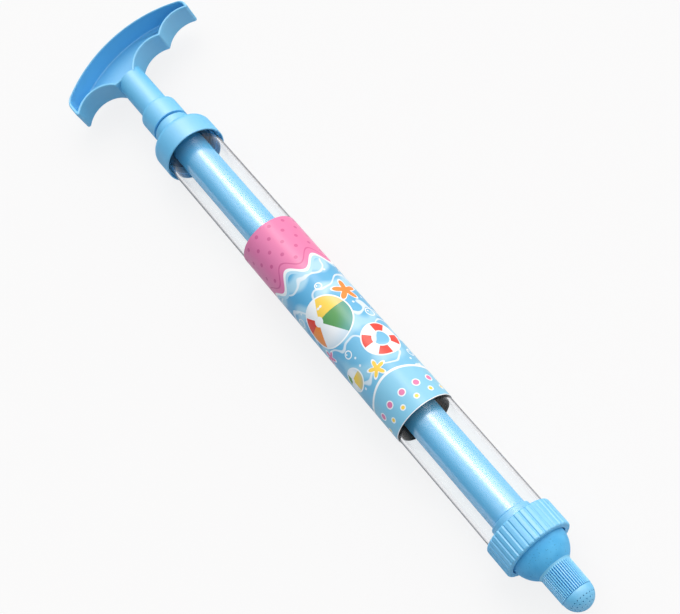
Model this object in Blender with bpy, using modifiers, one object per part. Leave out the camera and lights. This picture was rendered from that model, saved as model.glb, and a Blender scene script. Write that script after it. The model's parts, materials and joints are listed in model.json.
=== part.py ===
# A pull-and-push water squirter, lying on its side with the nozzle towards +X.
# Metres, +Z up. The barrel's axis runs along X and the open tray of the handle faces up.
# The origin is under the middle of the object's box, on the surface that it lies on.

import math

import bmesh
import bpy
from mathutils import Matrix, Vector

OBJECT_NAME = "water_squirter"

TOTAL_LENGTH = 0.5192
CLEARANCE = 0.0003  # gap between pieces that touch on the real object
SIDES = 36  # facets round a turned piece, with one facet facing straight down

# Barrel and label
BARREL_RADIUS = 0.0200
BARREL_WALL = 0.0020
BARREL_REAR_X = -0.1565
BARREL_FRONT_X = 0.2108
LABEL_REAR_X = -0.0491
LABEL_FRONT_X = 0.1152
LABEL_THICKNESS = 0.0004

# Rear cap: a skirt over the barrel, a rounded shoulder and a neck for the plunger
CAP_RADIUS = 0.0225
CAP_RIM_X = -0.1394
CAP_RIM_ROUND = 0.0007
CAP_REAR_X = -0.1594
CAP_SHOULDER_ROUND = 0.0050
CAP_END_WALL = 0.0026
NECK_RADIUS = 0.0137
NECK_REAR_X = -0.1712
GUIDE_LENGTH = 0.0089

# Front collar, with ribs to grip it by and a lip that holds the dome's flange
COLLAR_REAR_X = 0.1996
COLLAR_FRONT_X = 0.2185
COLLAR_LIP = 0.0030
COLLAR_EDGE_ROUND = 0.0010
COLLAR_RIBS = 36
RIB_DEPTH = 0.0008
RIB_GROOVE_SHARE = 0.40  # of the pitch, at the crests
RIB_ROOT_SHARE = 0.22  # of the pitch, at the bottom of a groove

# Dome, with a flange behind it and a spout in front
DOME_RADIUS = 0.0181
DOME_CENTRE_X = 0.2168
DOME_WALL = 0.0021
GASKET_LENGTH = 0.0012
GASKET_HOLE_RADIUS = 0.0165
SPOUT_RADIUS = 0.0076
SPOUT_BORE_RADIUS = 0.0050
SPOUT_LENGTH = 0.0123
NOZZLE_RING_THICKNESS = 0.0014
NOZZLE_RING_OFFSET = 0.0060  # from the dome's seat to the middle of the ring

# Turning nozzle: a sleeve on the spout and a round spray tip pressed into it
SLEEVE_REAR_RADIUS = 0.0103
SLEEVE_FRONT_RADIUS = 0.0101
SLEEVE_BORE_RADIUS = 0.0080
TIP_RADIUS = 0.0098
TIP_WALL = 0.0018
TIP_PLUG_LENGTH = 0.0040
TIP_PLUG_WALL = 0.0016
SPRAY_HOLE_RADIUS = 0.0005
SPRAY_RINGS = ((0, 1), (22, 6), (42, 12))  # degrees off the axis, holes in the ring

# Plunger: tube, plug, piston head, two seals and a screw
PLUNGER_RADIUS = 0.0118
PLUNGER_WALL = 0.0018
PLUG_SHOULDER_RADIUS = 0.0134
PLUG_SHOULDER_X = 0.1934
PLUG_SPIGOT_LENGTH = 0.0140
PISTON_RADIUS = 0.0176
PISTON_REAR_X = 0.2004
PISTON_LENGTH = 0.0100
SEAL_THICKNESS = 0.0025
GROOVE_FLOOR_RADIUS = 0.0149
SCREW_SHANK_RADIUS = 0.0019
SCREW_HEAD_RADIUS = 0.0042
SCREW_HEAD_LENGTH = 0.0024
SCREW_LENGTH = 0.0200

# Handle: socket, stem and a tray-shaped grip with scallops for the fingers
SOCKET_RADIUS = 0.0139
SOCKET_FRONT_X = -0.1717
SOCKET_REAR_X = -0.1894
SOCKET_ROUND = 0.0025
SOCKET_DEPTH = 0.0160
SPIGOT_LENGTH = 0.0100
STEM_RADIUS = 0.0105
STEM_BORE_RADIUS = 0.0070
STEM_BORE_END_X = -0.2160
STEM_END_X = -0.2300
GRIP_THICKNESS = 0.0186
GRIP_WALL = 0.0020
GRIP_FLOOR = 0.0030
GRIP_BACK_RADIUS = 0.0970
GRIP_BACK_Y = 0.0116  # of the back arc's centre, from the axis
GRIP_STEM_X = -0.2239  # where the stem meets the tray
GRIP_SHORT_END_Y = -0.0456
GRIP_SHORT_END_ROUND = 0.0100
GRIP_LONG_END_Y = 0.0650
GRIP_LONG_END_ROUND = 0.0070
GRIP_CREST_ROUND = 0.0016
POCKET_CREST_ROUND = 0.0008
SCALLOP_RADIUS = 0.0200
SCALLOP_SHORT_ARM = (-0.2135, -0.0281)  # x and y of a scallop's centre
SCALLOP_LONG_ARM = (-0.2156, 0.0246)
SCALLOP_LONG_END = (-0.2194, 0.0516)

# Worked out from the sizes above
AXIS_Y = -(GRIP_SHORT_END_Y + GRIP_LONG_END_Y) / 2
AXIS_Z = CAP_RADIUS * math.cos(math.pi / SIDES)
TIP_X = TOTAL_LENGTH / 2
SEAM_X = TIP_X - TIP_RADIUS
SEAT_X = DOME_CENTRE_X + math.sqrt(DOME_RADIUS**2 - SLEEVE_REAR_RADIUS**2)
BARREL_BORE_RADIUS = BARREL_RADIUS - BARREL_WALL
COLLAR_BORE_RADIUS = BARREL_RADIUS + CLEARANCE
GUIDE_HOLE_RADIUS = PLUNGER_RADIUS + CLEARANCE
PLUNGER_BORE_RADIUS = PLUNGER_RADIUS - PLUNGER_WALL
SPIGOT_RADIUS = PLUNGER_BORE_RADIUS - CLEARANCE
SOCKET_FLOOR_X = SOCKET_FRONT_X - SOCKET_DEPTH
PISTON_FRONT_X = PISTON_REAR_X + PISTON_LENGTH
GROOVE_WIDTH = SEAL_THICKNESS + 2 * CLEARANCE
SEAL_OFFSET = PISTON_LENGTH * 0.235  # from the piston's middle to each seal
SEAL_RING_RADIUS = GROOVE_FLOOR_RADIUS + CLEARANCE + SEAL_THICKNESS / 2
GASKET_REAR_X = BARREL_FRONT_X + CLEARANCE
FLANGE_REAR_X = GASKET_REAR_X + GASKET_LENGTH + CLEARANCE
SPOUT_END_X = SEAT_X + SPOUT_LENGTH
NOZZLE_RING_X = SEAT_X + NOZZLE_RING_OFFSET
NOZZLE_RING_RADIUS = SLEEVE_BORE_RADIUS - CLEARANCE - NOZZLE_RING_THICKNESS / 2

BLUE = (125, 192, 237)
MATT_BLUE = (108, 182, 232)
CLEAR = (232, 238, 240)
LABEL_BLUE = (128, 186, 226)
WHITE = (226, 229, 231)
BLACK = (28, 28, 30)
STEEL = (186, 188, 190)


def linear(channel):
    """A 0 to 255 screen value as the linear value that shaders take."""
    value = channel / 255
    return value / 12.92 if value <= 0.04045 else ((value + 0.055) / 1.055) ** 2.4


def new_collection(name):
    collection = bpy.data.collections.new(name)
    bpy.context.scene.collection.children.link(collection)
    return collection


def new_axis(name, collection):
    """An empty on the barrel's axis, which carries the pieces of one moving group."""
    axis = bpy.data.objects.new(name, None)
    axis.location = (0, AXIS_Y, AXIS_Z)
    axis.empty_display_size = BARREL_RADIUS
    collection.objects.link(axis)
    return axis


def finish(name, colour, roughness, metallic=0.0, alpha=1.0):
    material = bpy.data.materials.new(name + "_finish")
    material.use_nodes = True
    shader = material.node_tree.nodes["Principled BSDF"]
    shader.inputs["Base Color"].default_value = (*map(linear, colour), 1)
    shader.inputs["Roughness"].default_value = roughness
    shader.inputs["Metallic"].default_value = metallic
    shader.inputs["Alpha"].default_value = alpha
    return material


def arc(centre, radius, first, last, segments):
    """Points on a circle from one angle to another, both ends included."""
    angles = [first + (last - first) * step / segments for step in range(segments + 1)]
    return [(centre[0] + radius * math.cos(a), centre[1] + radius * math.sin(a)) for a in angles]


def turned(name, profile, touches_axis=False):
    """A profile of (x, radius) points, outer side from front to rear, turned about the X axis."""
    half_facet = math.pi / SIDES
    points = [(r * math.cos(half_facet), r * math.sin(half_facet), x) for x, r in profile]
    edges = [(i, i + 1) for i in range(len(points) - 1)]
    if not touches_axis:
        edges.append((len(points) - 1, 0))
    mesh = bpy.data.meshes.new(name)
    mesh.from_pydata(points, edges, [])
    solid = bpy.data.objects.new(name, mesh)
    solid.rotation_euler.y = math.pi / 2
    screw = solid.modifiers.new("turn", "SCREW")
    screw.steps = SIDES
    screw.render_steps = SIDES
    screw.use_merge_vertices = True
    screw.merge_threshold = 0.00001
    return solid


def tube(name, rear_x, front_x, outer_radius, inner_radius):
    corners = [
        (front_x, outer_radius),
        (rear_x, outer_radius),
        (rear_x, inner_radius),
        (front_x, inner_radius),
    ]
    return turned(name, corners)


def rubber_ring(name, middle_x, ring_radius, thickness, segments=8):
    circle = arc((middle_x, ring_radius), thickness / 2, 0, 2 * math.pi, segments)
    return turned(name, circle[:-1])


def plate(name, outline, thickness, helpers):
    """A flat outline of (x, y) points, made thick either side of z = 0."""
    curve = bpy.data.curves.new(name, "CURVE")
    curve.dimensions = "2D"
    curve.fill_mode = "BOTH"
    curve.extrude = thickness / 2
    spline = curve.splines.new("POLY")
    spline.points.add(len(outline) - 1)
    for point, (x, y) in zip(spline.points, outline):
        point.co = (x, y, 0, 1)
    spline.use_cyclic_u = True
    flat = bpy.data.objects.new(name + "_outline", curve)
    helpers.objects.link(flat)
    bpy.context.view_layer.update()
    graph = bpy.context.evaluated_depsgraph_get()
    mesh = bpy.data.meshes.new_from_object(flat.evaluated_get(graph))
    bpy.data.objects.remove(flat)
    work = bmesh.new()
    work.from_mesh(mesh)
    bmesh.ops.remove_doubles(work, verts=work.verts, dist=0.00001)
    work.to_mesh(mesh)
    work.free()
    return bpy.data.objects.new(name, mesh)


def cutter(solid, axis, helpers):
    """Keeps a helper solid on its axis, out of the finished object."""
    solid.parent = axis
    solid.hide_render = True
    solid.display_type = "WIRE"
    helpers.objects.link(solid)
    return solid


def combine(solid, operation, tool):
    boolean = solid.modifiers.new(operation.lower(), "BOOLEAN")
    boolean.operation = operation
    boolean.object = tool


def make_rear_cap():
    shoulder_centre = (CAP_REAR_X + CAP_SHOULDER_ROUND, CAP_RADIUS - CAP_SHOULDER_ROUND)
    rim_centre = (CAP_RIM_X - CAP_RIM_ROUND, CAP_RADIUS - CAP_RIM_ROUND)
    profile = arc(rim_centre, CAP_RIM_ROUND, 0, math.pi / 2, 2)
    profile += arc(shoulder_centre, CAP_SHOULDER_ROUND, math.pi / 2, math.pi, 5)
    profile += [
        (CAP_REAR_X, NECK_RADIUS),
        (NECK_REAR_X, NECK_RADIUS),
        (NECK_REAR_X, GUIDE_HOLE_RADIUS),
        (CAP_REAR_X + CAP_END_WALL, GUIDE_HOLE_RADIUS),
        (CAP_REAR_X + CAP_END_WALL, COLLAR_BORE_RADIUS),
        (CAP_RIM_X, COLLAR_BORE_RADIUS),
    ]
    return turned("rear_cap", profile)


def make_front_collar(axis, helpers):
    front_centre = (COLLAR_FRONT_X - COLLAR_EDGE_ROUND, CAP_RADIUS - COLLAR_EDGE_ROUND)
    rear_centre = (COLLAR_REAR_X + COLLAR_EDGE_ROUND, CAP_RADIUS - COLLAR_EDGE_ROUND)
    lip_hole_radius = DOME_RADIUS + CLEARANCE
    profile = arc(front_centre, COLLAR_EDGE_ROUND, 0, math.pi / 2, 2)
    profile += arc(rear_centre, COLLAR_EDGE_ROUND, math.pi / 2, math.pi, 2)
    profile += [
        (COLLAR_REAR_X, COLLAR_BORE_RADIUS),
        (COLLAR_FRONT_X - COLLAR_LIP, COLLAR_BORE_RADIUS),
        (COLLAR_FRONT_X - COLLAR_LIP, lip_hole_radius),
        (COLLAR_FRONT_X, lip_hole_radius),
    ]
    collar = turned("front_collar", profile)
    # The ribs stand past the collar's own outline, so only the grooves between them show.
    pitch = 2 * math.pi / COLLAR_RIBS
    root_radius = CAP_RADIUS - RIB_DEPTH
    crest_radius = CAP_RADIUS + RIB_DEPTH
    outline = []
    for rib in range(COLLAR_RIBS):
        for share, radius in (
            (-RIB_GROOVE_SHARE, crest_radius),
            (-RIB_ROOT_SHARE, root_radius),
            (RIB_ROOT_SHARE, root_radius),
            (RIB_GROOVE_SHARE, crest_radius),
        ):
            angle = pitch * (rib + share / 2)
            outline.append((radius * math.cos(angle), radius * math.sin(angle)))
    ribs = plate("collar_ribs", outline, 2 * (COLLAR_FRONT_X - COLLAR_REAR_X), helpers)
    ribs.rotation_euler.y = math.pi / 2
    ribs.location.x = (COLLAR_REAR_X + COLLAR_FRONT_X) / 2
    combine(collar, "INTERSECT", cutter(ribs, axis, helpers))
    return collar


def make_nozzle_dome():
    inner_radius = DOME_RADIUS - DOME_WALL
    seat_angle = math.asin(SLEEVE_REAR_RADIUS / DOME_RADIUS)
    bore_angle = math.asin(SPOUT_BORE_RADIUS / inner_radius)
    flange_front_x = COLLAR_FRONT_X - COLLAR_LIP - CLEARANCE
    ring_floor_radius = NOZZLE_RING_RADIUS - NOZZLE_RING_THICKNESS / 2 - CLEARANCE
    ring_half_width = NOZZLE_RING_THICKNESS / 2 + CLEARANCE
    profile = [
        (SPOUT_END_X, SPOUT_BORE_RADIUS),
        (SPOUT_END_X, SPOUT_RADIUS),
        (NOZZLE_RING_X + ring_half_width, SPOUT_RADIUS),
        (NOZZLE_RING_X + ring_half_width, ring_floor_radius),
        (NOZZLE_RING_X - ring_half_width, ring_floor_radius),
        (NOZZLE_RING_X - ring_half_width, SPOUT_RADIUS),
        (SEAT_X, SPOUT_RADIUS),
    ]
    profile += arc((DOME_CENTRE_X, 0), DOME_RADIUS, seat_angle, math.pi / 2, 7)
    profile += [
        (flange_front_x, DOME_RADIUS),
        (flange_front_x, BARREL_RADIUS),
        (FLANGE_REAR_X, BARREL_RADIUS),
        (FLANGE_REAR_X, inner_radius),
    ]
    profile += arc((DOME_CENTRE_X - DOME_WALL, 0), inner_radius, math.pi / 2, bore_angle, 6)
    return turned("nozzle_dome", profile)


def make_nozzle_sleeve():
    front_x = SEAM_X - CLEARANCE
    rear_x = SEAT_X + CLEARANCE
    profile = [
        (front_x, SLEEVE_FRONT_RADIUS),
        (rear_x, SLEEVE_REAR_RADIUS),
        (rear_x, SLEEVE_BORE_RADIUS),
        (front_x, SLEEVE_BORE_RADIUS),
    ]
    return turned("nozzle_sleeve", profile)


def make_spray_tip(axis, helpers):
    plug_radius = SLEEVE_BORE_RADIUS - CLEARANCE
    plug_bore_radius = plug_radius - TIP_PLUG_WALL
    inner_radius = TIP_RADIUS - TIP_WALL
    bore_angle = math.asin(plug_bore_radius / inner_radius)
    profile = arc((SEAM_X, 0), TIP_RADIUS, 0, math.pi / 2, 8)
    profile += [
        (SEAM_X, plug_radius),
        (SEAM_X - TIP_PLUG_LENGTH, plug_radius),
        (SEAM_X - TIP_PLUG_LENGTH, plug_bore_radius),
    ]
    profile += arc((SEAM_X, 0), inner_radius, bore_angle, 0, 4)
    tip = turned("spray_tip", profile, touches_axis=True)
    drills = bmesh.new()
    for degrees, count in SPRAY_RINGS:
        for hole in range(count):
            turn = Matrix.Rotation(2 * math.pi * hole / count, 4, "Z")
            tilt = Matrix.Rotation(math.radians(degrees), 4, "Y")
            reach = Matrix.Translation(Vector((0, 0, TIP_RADIUS - TIP_WALL / 2)))
            bmesh.ops.create_cone(
                drills,
                cap_ends=True,
                segments=8,
                radius1=SPRAY_HOLE_RADIUS,
                radius2=SPRAY_HOLE_RADIUS,
                depth=3 * TIP_WALL,
                matrix=turn @ tilt @ reach,
            )
    mesh = bpy.data.meshes.new("spray_drills")
    drills.to_mesh(mesh)
    drills.free()
    holes = bpy.data.objects.new("spray_drills", mesh)
    holes.rotation_euler.y = math.pi / 2
    holes.location.x = SEAM_X
    combine(tip, "DIFFERENCE", cutter(holes, axis, helpers))
    return tip


def make_rod_plug():
    front_x = PISTON_REAR_X - CLEARANCE
    pilot_radius = SCREW_SHANK_RADIUS + CLEARANCE
    pilot_end_x = PISTON_FRONT_X - SCREW_HEAD_LENGTH - SCREW_LENGTH
    profile = [
        (pilot_end_x, 0),
        (pilot_end_x, pilot_radius),
        (front_x, pilot_radius),
        (front_x, PLUG_SHOULDER_RADIUS),
        (PLUG_SHOULDER_X, PLUG_SHOULDER_RADIUS),
        (PLUG_SHOULDER_X, SPIGOT_RADIUS),
        (PLUG_SHOULDER_X - PLUG_SPIGOT_LENGTH, SPIGOT_RADIUS),
        (PLUG_SHOULDER_X - PLUG_SPIGOT_LENGTH, 0),
    ]
    return turned("rod_plug", profile, touches_axis=True)


def make_piston_head():
    middle_x = (PISTON_REAR_X + PISTON_FRONT_X) / 2
    hole_radius = SCREW_SHANK_RADIUS + CLEARANCE
    recess_radius = SCREW_HEAD_RADIUS + CLEARANCE
    recess_x = PISTON_FRONT_X - SCREW_HEAD_LENGTH - 2 * CLEARANCE
    profile = [(PISTON_FRONT_X, recess_radius), (PISTON_FRONT_X, PISTON_RADIUS)]
    for offset in (SEAL_OFFSET, -SEAL_OFFSET):
        groove_front_x = middle_x + offset + GROOVE_WIDTH / 2
        groove_rear_x = middle_x + offset - GROOVE_WIDTH / 2
        profile += [
            (groove_front_x, PISTON_RADIUS),
            (groove_front_x, GROOVE_FLOOR_RADIUS),
            (groove_rear_x, GROOVE_FLOOR_RADIUS),
            (groove_rear_x, PISTON_RADIUS),
        ]
    profile += [
        (PISTON_REAR_X, PISTON_RADIUS),
        (PISTON_REAR_X, hole_radius),
        (recess_x, hole_radius),
        (recess_x, recess_radius),
    ]
    return turned("piston_head", profile)


def make_piston_screw():
    head_front_x = PISTON_FRONT_X - CLEARANCE
    head_rear_x = head_front_x - SCREW_HEAD_LENGTH
    end_x = head_rear_x - SCREW_LENGTH + 2 * CLEARANCE
    profile = [
        (head_front_x, 0),
        (head_front_x, SCREW_HEAD_RADIUS),
        (head_rear_x, SCREW_HEAD_RADIUS),
        (head_rear_x, SCREW_SHANK_RADIUS),
        (end_x, SCREW_SHANK_RADIUS),
        (end_x, 0),
    ]
    return turned("piston_screw", profile, touches_axis=True)


def towards(centre, point):
    return math.atan2(point[1] - centre[1], point[0] - centre[0])


def crest_between(first, second, distance):
    """The point at one distance from two scallop centres, on the tray's side of them."""
    gap = Vector(second) - Vector(first)
    back = Vector((-gap.y, gap.x)).normalized()
    height = math.sqrt(distance**2 - (gap.length / 2) ** 2)
    return tuple((Vector(first) + Vector(second)) / 2 + back * height)


def grip_outline(inset, crest_round):
    """The tray's outline seen from above, drawn in by inset and anticlockwise.

    From the stem: two scallops on the long arm, its end, the back arc, the short end and its scallop.
    """
    scallop = SCALLOP_RADIUS + inset
    back_radius = GRIP_BACK_RADIUS - inset
    back_centre = (GRIP_BACK_RADIUS - TOTAL_LENGTH / 2, GRIP_BACK_Y)
    stem_x = GRIP_STEM_X - inset

    def end_of_arm(end_y, side, end_round, scallop_centre):
        """Centres of the round at an arm's back corner and of the round on its crest."""
        corner_y = end_y - side * end_round
        reach = back_radius - (end_round - inset)
        corner_x = back_centre[0] - math.sqrt(reach**2 - (corner_y - back_centre[1]) ** 2)
        crest_y = end_y - side * (inset + crest_round)
        rise = (scallop + crest_round) ** 2 - (crest_y - scallop_centre[1]) ** 2
        return (corner_x, corner_y), (scallop_centre[0] - math.sqrt(rise), crest_y)

    def stem_angle(scallop_centre, side):
        """Direction from a scallop's centre to where its edge meets the stem's line."""
        drop = stem_x - scallop_centre[0]
        return math.atan2(side * math.sqrt(scallop**2 - drop**2), drop) % (2 * math.pi)

    long_corner, long_crest = end_of_arm(GRIP_LONG_END_Y, 1, GRIP_LONG_END_ROUND, SCALLOP_LONG_END)
    short_corner, short_crest = end_of_arm(
        GRIP_SHORT_END_Y, -1, GRIP_SHORT_END_ROUND, SCALLOP_SHORT_ARM
    )
    middle_crest = crest_between(SCALLOP_LONG_ARM, SCALLOP_LONG_END, scallop + crest_round)
    full = 2 * math.pi
    long_back = towards(back_centre, long_corner) % full
    short_back = towards(back_centre, short_corner) % full
    into_middle = towards(SCALLOP_LONG_ARM, middle_crest) % full
    out_of_middle = towards(SCALLOP_LONG_END, middle_crest) % full
    into_long = towards(SCALLOP_LONG_END, long_crest) % full
    out_of_short = towards(SCALLOP_SHORT_ARM, short_crest) % full
    long_round = GRIP_LONG_END_ROUND - inset
    short_round = GRIP_SHORT_END_ROUND - inset
    outline = arc(SCALLOP_LONG_ARM, scallop, stem_angle(SCALLOP_LONG_ARM, -1), into_middle, 8)
    outline += arc(middle_crest, crest_round, into_middle - math.pi, out_of_middle - math.pi, 3)
    outline += arc(SCALLOP_LONG_END, scallop, out_of_middle, into_long, 8)
    outline += arc(long_crest, crest_round, into_long - math.pi, math.pi / 2, 3)
    outline += arc(long_corner, long_round, math.pi / 2, long_back, 4)
    outline += arc(back_centre, back_radius, long_back, short_back, 18)[1:-1]
    outline += arc(short_corner, short_round, short_back, 3 * math.pi / 2, 5)
    outline += arc(short_crest, crest_round, -math.pi / 2, out_of_short - math.pi, 3)
    outline += arc(SCALLOP_SHORT_ARM, scallop, out_of_short, stem_angle(SCALLOP_SHORT_ARM, 1), 8)
    return outline


def make_handle(axis, helpers):
    handle = plate("handle", grip_outline(0, GRIP_CREST_ROUND), GRIP_THICKNESS, helpers)
    shoulder_centre = (SOCKET_REAR_X + SOCKET_ROUND, SOCKET_RADIUS - SOCKET_ROUND)
    profile = [
        (STEM_BORE_END_X, 0),
        (STEM_BORE_END_X, STEM_BORE_RADIUS),
        (SOCKET_FLOOR_X + SPIGOT_LENGTH, STEM_BORE_RADIUS),
        (SOCKET_FLOOR_X + SPIGOT_LENGTH, SPIGOT_RADIUS),
        (SOCKET_FLOOR_X, SPIGOT_RADIUS),
        (SOCKET_FLOOR_X, PLUNGER_RADIUS + CLEARANCE),
        (SOCKET_FRONT_X, PLUNGER_RADIUS + CLEARANCE),
        (SOCKET_FRONT_X, SOCKET_RADIUS),
    ]
    profile += arc(shoulder_centre, SOCKET_ROUND, math.pi / 2, math.pi, 4)
    profile += [
        (SOCKET_REAR_X, STEM_RADIUS),
        (STEM_END_X, STEM_RADIUS),
        (STEM_END_X, 0),
    ]
    stem = turned("handle_stem", profile, touches_axis=True)
    # Under the tray the stem is cut off just inside the floor, so the tray's back stays flat.
    under = bmesh.new()
    bmesh.ops.create_cube(under, size=1)
    trim_length = GRIP_STEM_X - STEM_END_X + GRIP_WALL
    bmesh.ops.scale(under, verts=under.verts, vec=(trim_length, 4 * STEM_RADIUS, STEM_RADIUS))
    trim_mesh = bpy.data.meshes.new("stem_trim")
    under.to_mesh(trim_mesh)
    under.free()
    trim = bpy.data.objects.new("stem_trim", trim_mesh)
    trim.location.x = GRIP_STEM_X + CLEARANCE - trim_length / 2
    trim.location.z = CLEARANCE - (GRIP_THICKNESS + STEM_RADIUS) / 2
    combine(stem, "DIFFERENCE", cutter(trim, axis, helpers))
    combine(handle, "UNION", cutter(stem, axis, helpers))
    # The pocket's cutter stands above the stem, so nothing is left over the opening.
    cut_height = 2 * GRIP_THICKNESS
    pocket = plate("grip_pocket", grip_outline(GRIP_WALL, POCKET_CREST_ROUND), cut_height, helpers)
    pocket.location.z = GRIP_FLOOR + (cut_height - GRIP_THICKNESS) / 2
    combine(handle, "DIFFERENCE", cutter(pocket, axis, helpers))
    return handle


def apply_and_shade(solid):
    """Turns the modifiers into a mesh, smooth but for its sharp edges."""
    graph = bpy.context.evaluated_depsgraph_get()
    mesh = bpy.data.meshes.new_from_object(solid.evaluated_get(graph))
    solid.modifiers.clear()
    solid.data = mesh
    mesh.shade_smooth()
    mesh.set_sharp_from_angle(angle=math.radians(30))


def main():
    for old in list(bpy.data.objects):
        bpy.data.objects.remove(old)
    parts = new_collection(OBJECT_NAME)
    helpers = new_collection("cutters")
    barrel = new_axis("barrel_axis", parts)
    plunger = new_axis("plunger_axis", parts)
    nozzle = new_axis("nozzle_axis", parts)

    guide_rear_x = CAP_REAR_X + CAP_END_WALL + CLEARANCE
    seal_middle_x = (PISTON_REAR_X + PISTON_FRONT_X) / 2
    label_bore_radius = BARREL_RADIUS + CLEARANCE
    pieces = (
        (
            tube("barrel_tube", BARREL_REAR_X, BARREL_FRONT_X, BARREL_RADIUS, BARREL_BORE_RADIUS),
            barrel,
            dict(colour=CLEAR, roughness=0.08, alpha=0.25),
        ),
        (
            tube(
                "label_sleeve",
                LABEL_REAR_X,
                LABEL_FRONT_X,
                label_bore_radius + LABEL_THICKNESS,
                label_bore_radius,
            ),
            barrel,
            dict(colour=LABEL_BLUE, roughness=0.35),
        ),
        (make_rear_cap(), barrel, dict(colour=BLUE, roughness=0.28)),
        (
            tube(
                "rod_guide",
                guide_rear_x,
                guide_rear_x + GUIDE_LENGTH,
                BARREL_BORE_RADIUS - CLEARANCE,
                GUIDE_HOLE_RADIUS,
            ),
            barrel,
            dict(colour=BLUE, roughness=0.45),
        ),
        (make_front_collar(barrel, helpers), barrel, dict(colour=BLUE, roughness=0.28)),
        (
            tube(
                "front_gasket",
                GASKET_REAR_X,
                GASKET_REAR_X + GASKET_LENGTH,
                BARREL_RADIUS,
                GASKET_HOLE_RADIUS,
            ),
            barrel,
            dict(colour=BLACK, roughness=0.65),
        ),
        (make_nozzle_dome(), barrel, dict(colour=MATT_BLUE, roughness=0.55)),
        (
            rubber_ring("nozzle_o_ring", NOZZLE_RING_X, NOZZLE_RING_RADIUS, NOZZLE_RING_THICKNESS),
            barrel,
            dict(colour=BLACK, roughness=0.6),
        ),
        (make_nozzle_sleeve(), nozzle, dict(colour=MATT_BLUE, roughness=0.4)),
        (make_spray_tip(nozzle, helpers), nozzle, dict(colour=BLUE, roughness=0.3)),
        (
            tube(
                "plunger_tube",
                SOCKET_FLOOR_X + CLEARANCE,
                PLUG_SHOULDER_X - CLEARANCE,
                PLUNGER_RADIUS,
                PLUNGER_BORE_RADIUS,
            ),
            plunger,
            dict(colour=BLUE, roughness=0.2),
        ),
        (make_rod_plug(), plunger, dict(colour=BLUE, roughness=0.35)),
        (make_piston_head(), plunger, dict(colour=WHITE, roughness=0.4)),
        (make_piston_screw(), plunger, dict(colour=STEEL, roughness=0.3, metallic=1.0)),
        (
            rubber_ring(
                "piston_seal_rear", seal_middle_x - SEAL_OFFSET, SEAL_RING_RADIUS, SEAL_THICKNESS
            ),
            plunger,
            dict(colour=BLACK, roughness=0.55),
        ),
        (
            rubber_ring(
                "piston_seal_front", seal_middle_x + SEAL_OFFSET, SEAL_RING_RADIUS, SEAL_THICKNESS
            ),
            plunger,
            dict(colour=BLACK, roughness=0.55),
        ),
        (make_handle(plunger, helpers), plunger, dict(colour=BLUE, roughness=0.3)),
    )
    for solid, axis, look in pieces:
        solid.parent = axis
        parts.objects.link(solid)
    bpy.context.view_layer.update()
    for solid, axis, look in pieces:
        apply_and_shade(solid)
        solid.data.materials.append(finish(solid.name, **look))


main()
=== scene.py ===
import json

import bmesh
import bpy
import numpy as np
from mathutils import Matrix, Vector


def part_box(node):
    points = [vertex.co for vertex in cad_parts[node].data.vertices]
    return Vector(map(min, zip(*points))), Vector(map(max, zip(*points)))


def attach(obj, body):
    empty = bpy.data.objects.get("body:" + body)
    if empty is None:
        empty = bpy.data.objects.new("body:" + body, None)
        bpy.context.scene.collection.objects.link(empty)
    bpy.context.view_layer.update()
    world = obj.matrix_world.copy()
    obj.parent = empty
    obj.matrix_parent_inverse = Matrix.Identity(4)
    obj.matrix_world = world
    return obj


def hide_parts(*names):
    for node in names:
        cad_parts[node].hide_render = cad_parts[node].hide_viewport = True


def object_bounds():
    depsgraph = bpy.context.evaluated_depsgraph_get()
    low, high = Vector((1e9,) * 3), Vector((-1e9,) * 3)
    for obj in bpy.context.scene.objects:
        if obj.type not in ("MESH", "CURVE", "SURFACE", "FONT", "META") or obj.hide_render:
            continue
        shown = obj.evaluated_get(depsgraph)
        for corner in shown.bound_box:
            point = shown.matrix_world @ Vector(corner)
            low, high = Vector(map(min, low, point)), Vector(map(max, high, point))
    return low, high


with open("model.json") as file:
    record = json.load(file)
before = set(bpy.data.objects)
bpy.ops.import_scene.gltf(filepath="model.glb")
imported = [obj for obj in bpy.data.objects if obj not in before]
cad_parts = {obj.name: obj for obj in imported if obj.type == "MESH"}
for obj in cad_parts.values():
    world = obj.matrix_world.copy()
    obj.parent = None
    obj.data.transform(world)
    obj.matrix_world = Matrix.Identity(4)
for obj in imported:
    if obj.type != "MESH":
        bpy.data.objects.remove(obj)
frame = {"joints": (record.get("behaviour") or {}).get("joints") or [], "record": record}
cadLow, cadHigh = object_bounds()

# A water squirter lying on its side, nozzle towards +X. Metres, and mm for small sizes.
mm = 0.001
cadSides = 36  # facets round a turned solid in the frame
cadGap = 0.3 * mm  # between solids that touch on the real object
fullTurn = 2 * np.pi
quarterTurn = np.pi / 2

spinJoint = next(joint for joint in frame["joints"] if joint["name"] == "plunger_spin")
axisY, axisZ = spinJoint["pos_m"][1:]
bodyOf = {node: body for body, nodes in frame["record"]["behaviour"]["bodies"].items() for node in nodes}


def stationsOf(node):
    # rear x, front x and true radius of a turned node, read from its box
    low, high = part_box(node)
    return low.x, high.x, (high.y - low.y) / 2 / np.cos(np.pi / cadSides)


def radiusOf(node):
    return stationsOf(node)[2]


def screen(red, green, blue):
    # a colour as a screen shows it, 0 to 255, in the linear values that shaders take
    value = np.array((red, green, blue)) / 255
    light = np.where(value <= 0.04045, value / 12.92, ((value + 0.055) / 1.055) ** 2.4)
    return (*light.tolist(), 1.0)


# Mesh helpers

def arcPoints(centre, radius, first, last, count):
    # an arc of a circle: centre plus radius times (cosine, sine) of angles from first to last
    angle = np.linspace(first, last, count)
    return np.stack([centre[0] + radius * np.cos(angle), centre[1] + radius * np.sin(angle)], axis=1)


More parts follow.
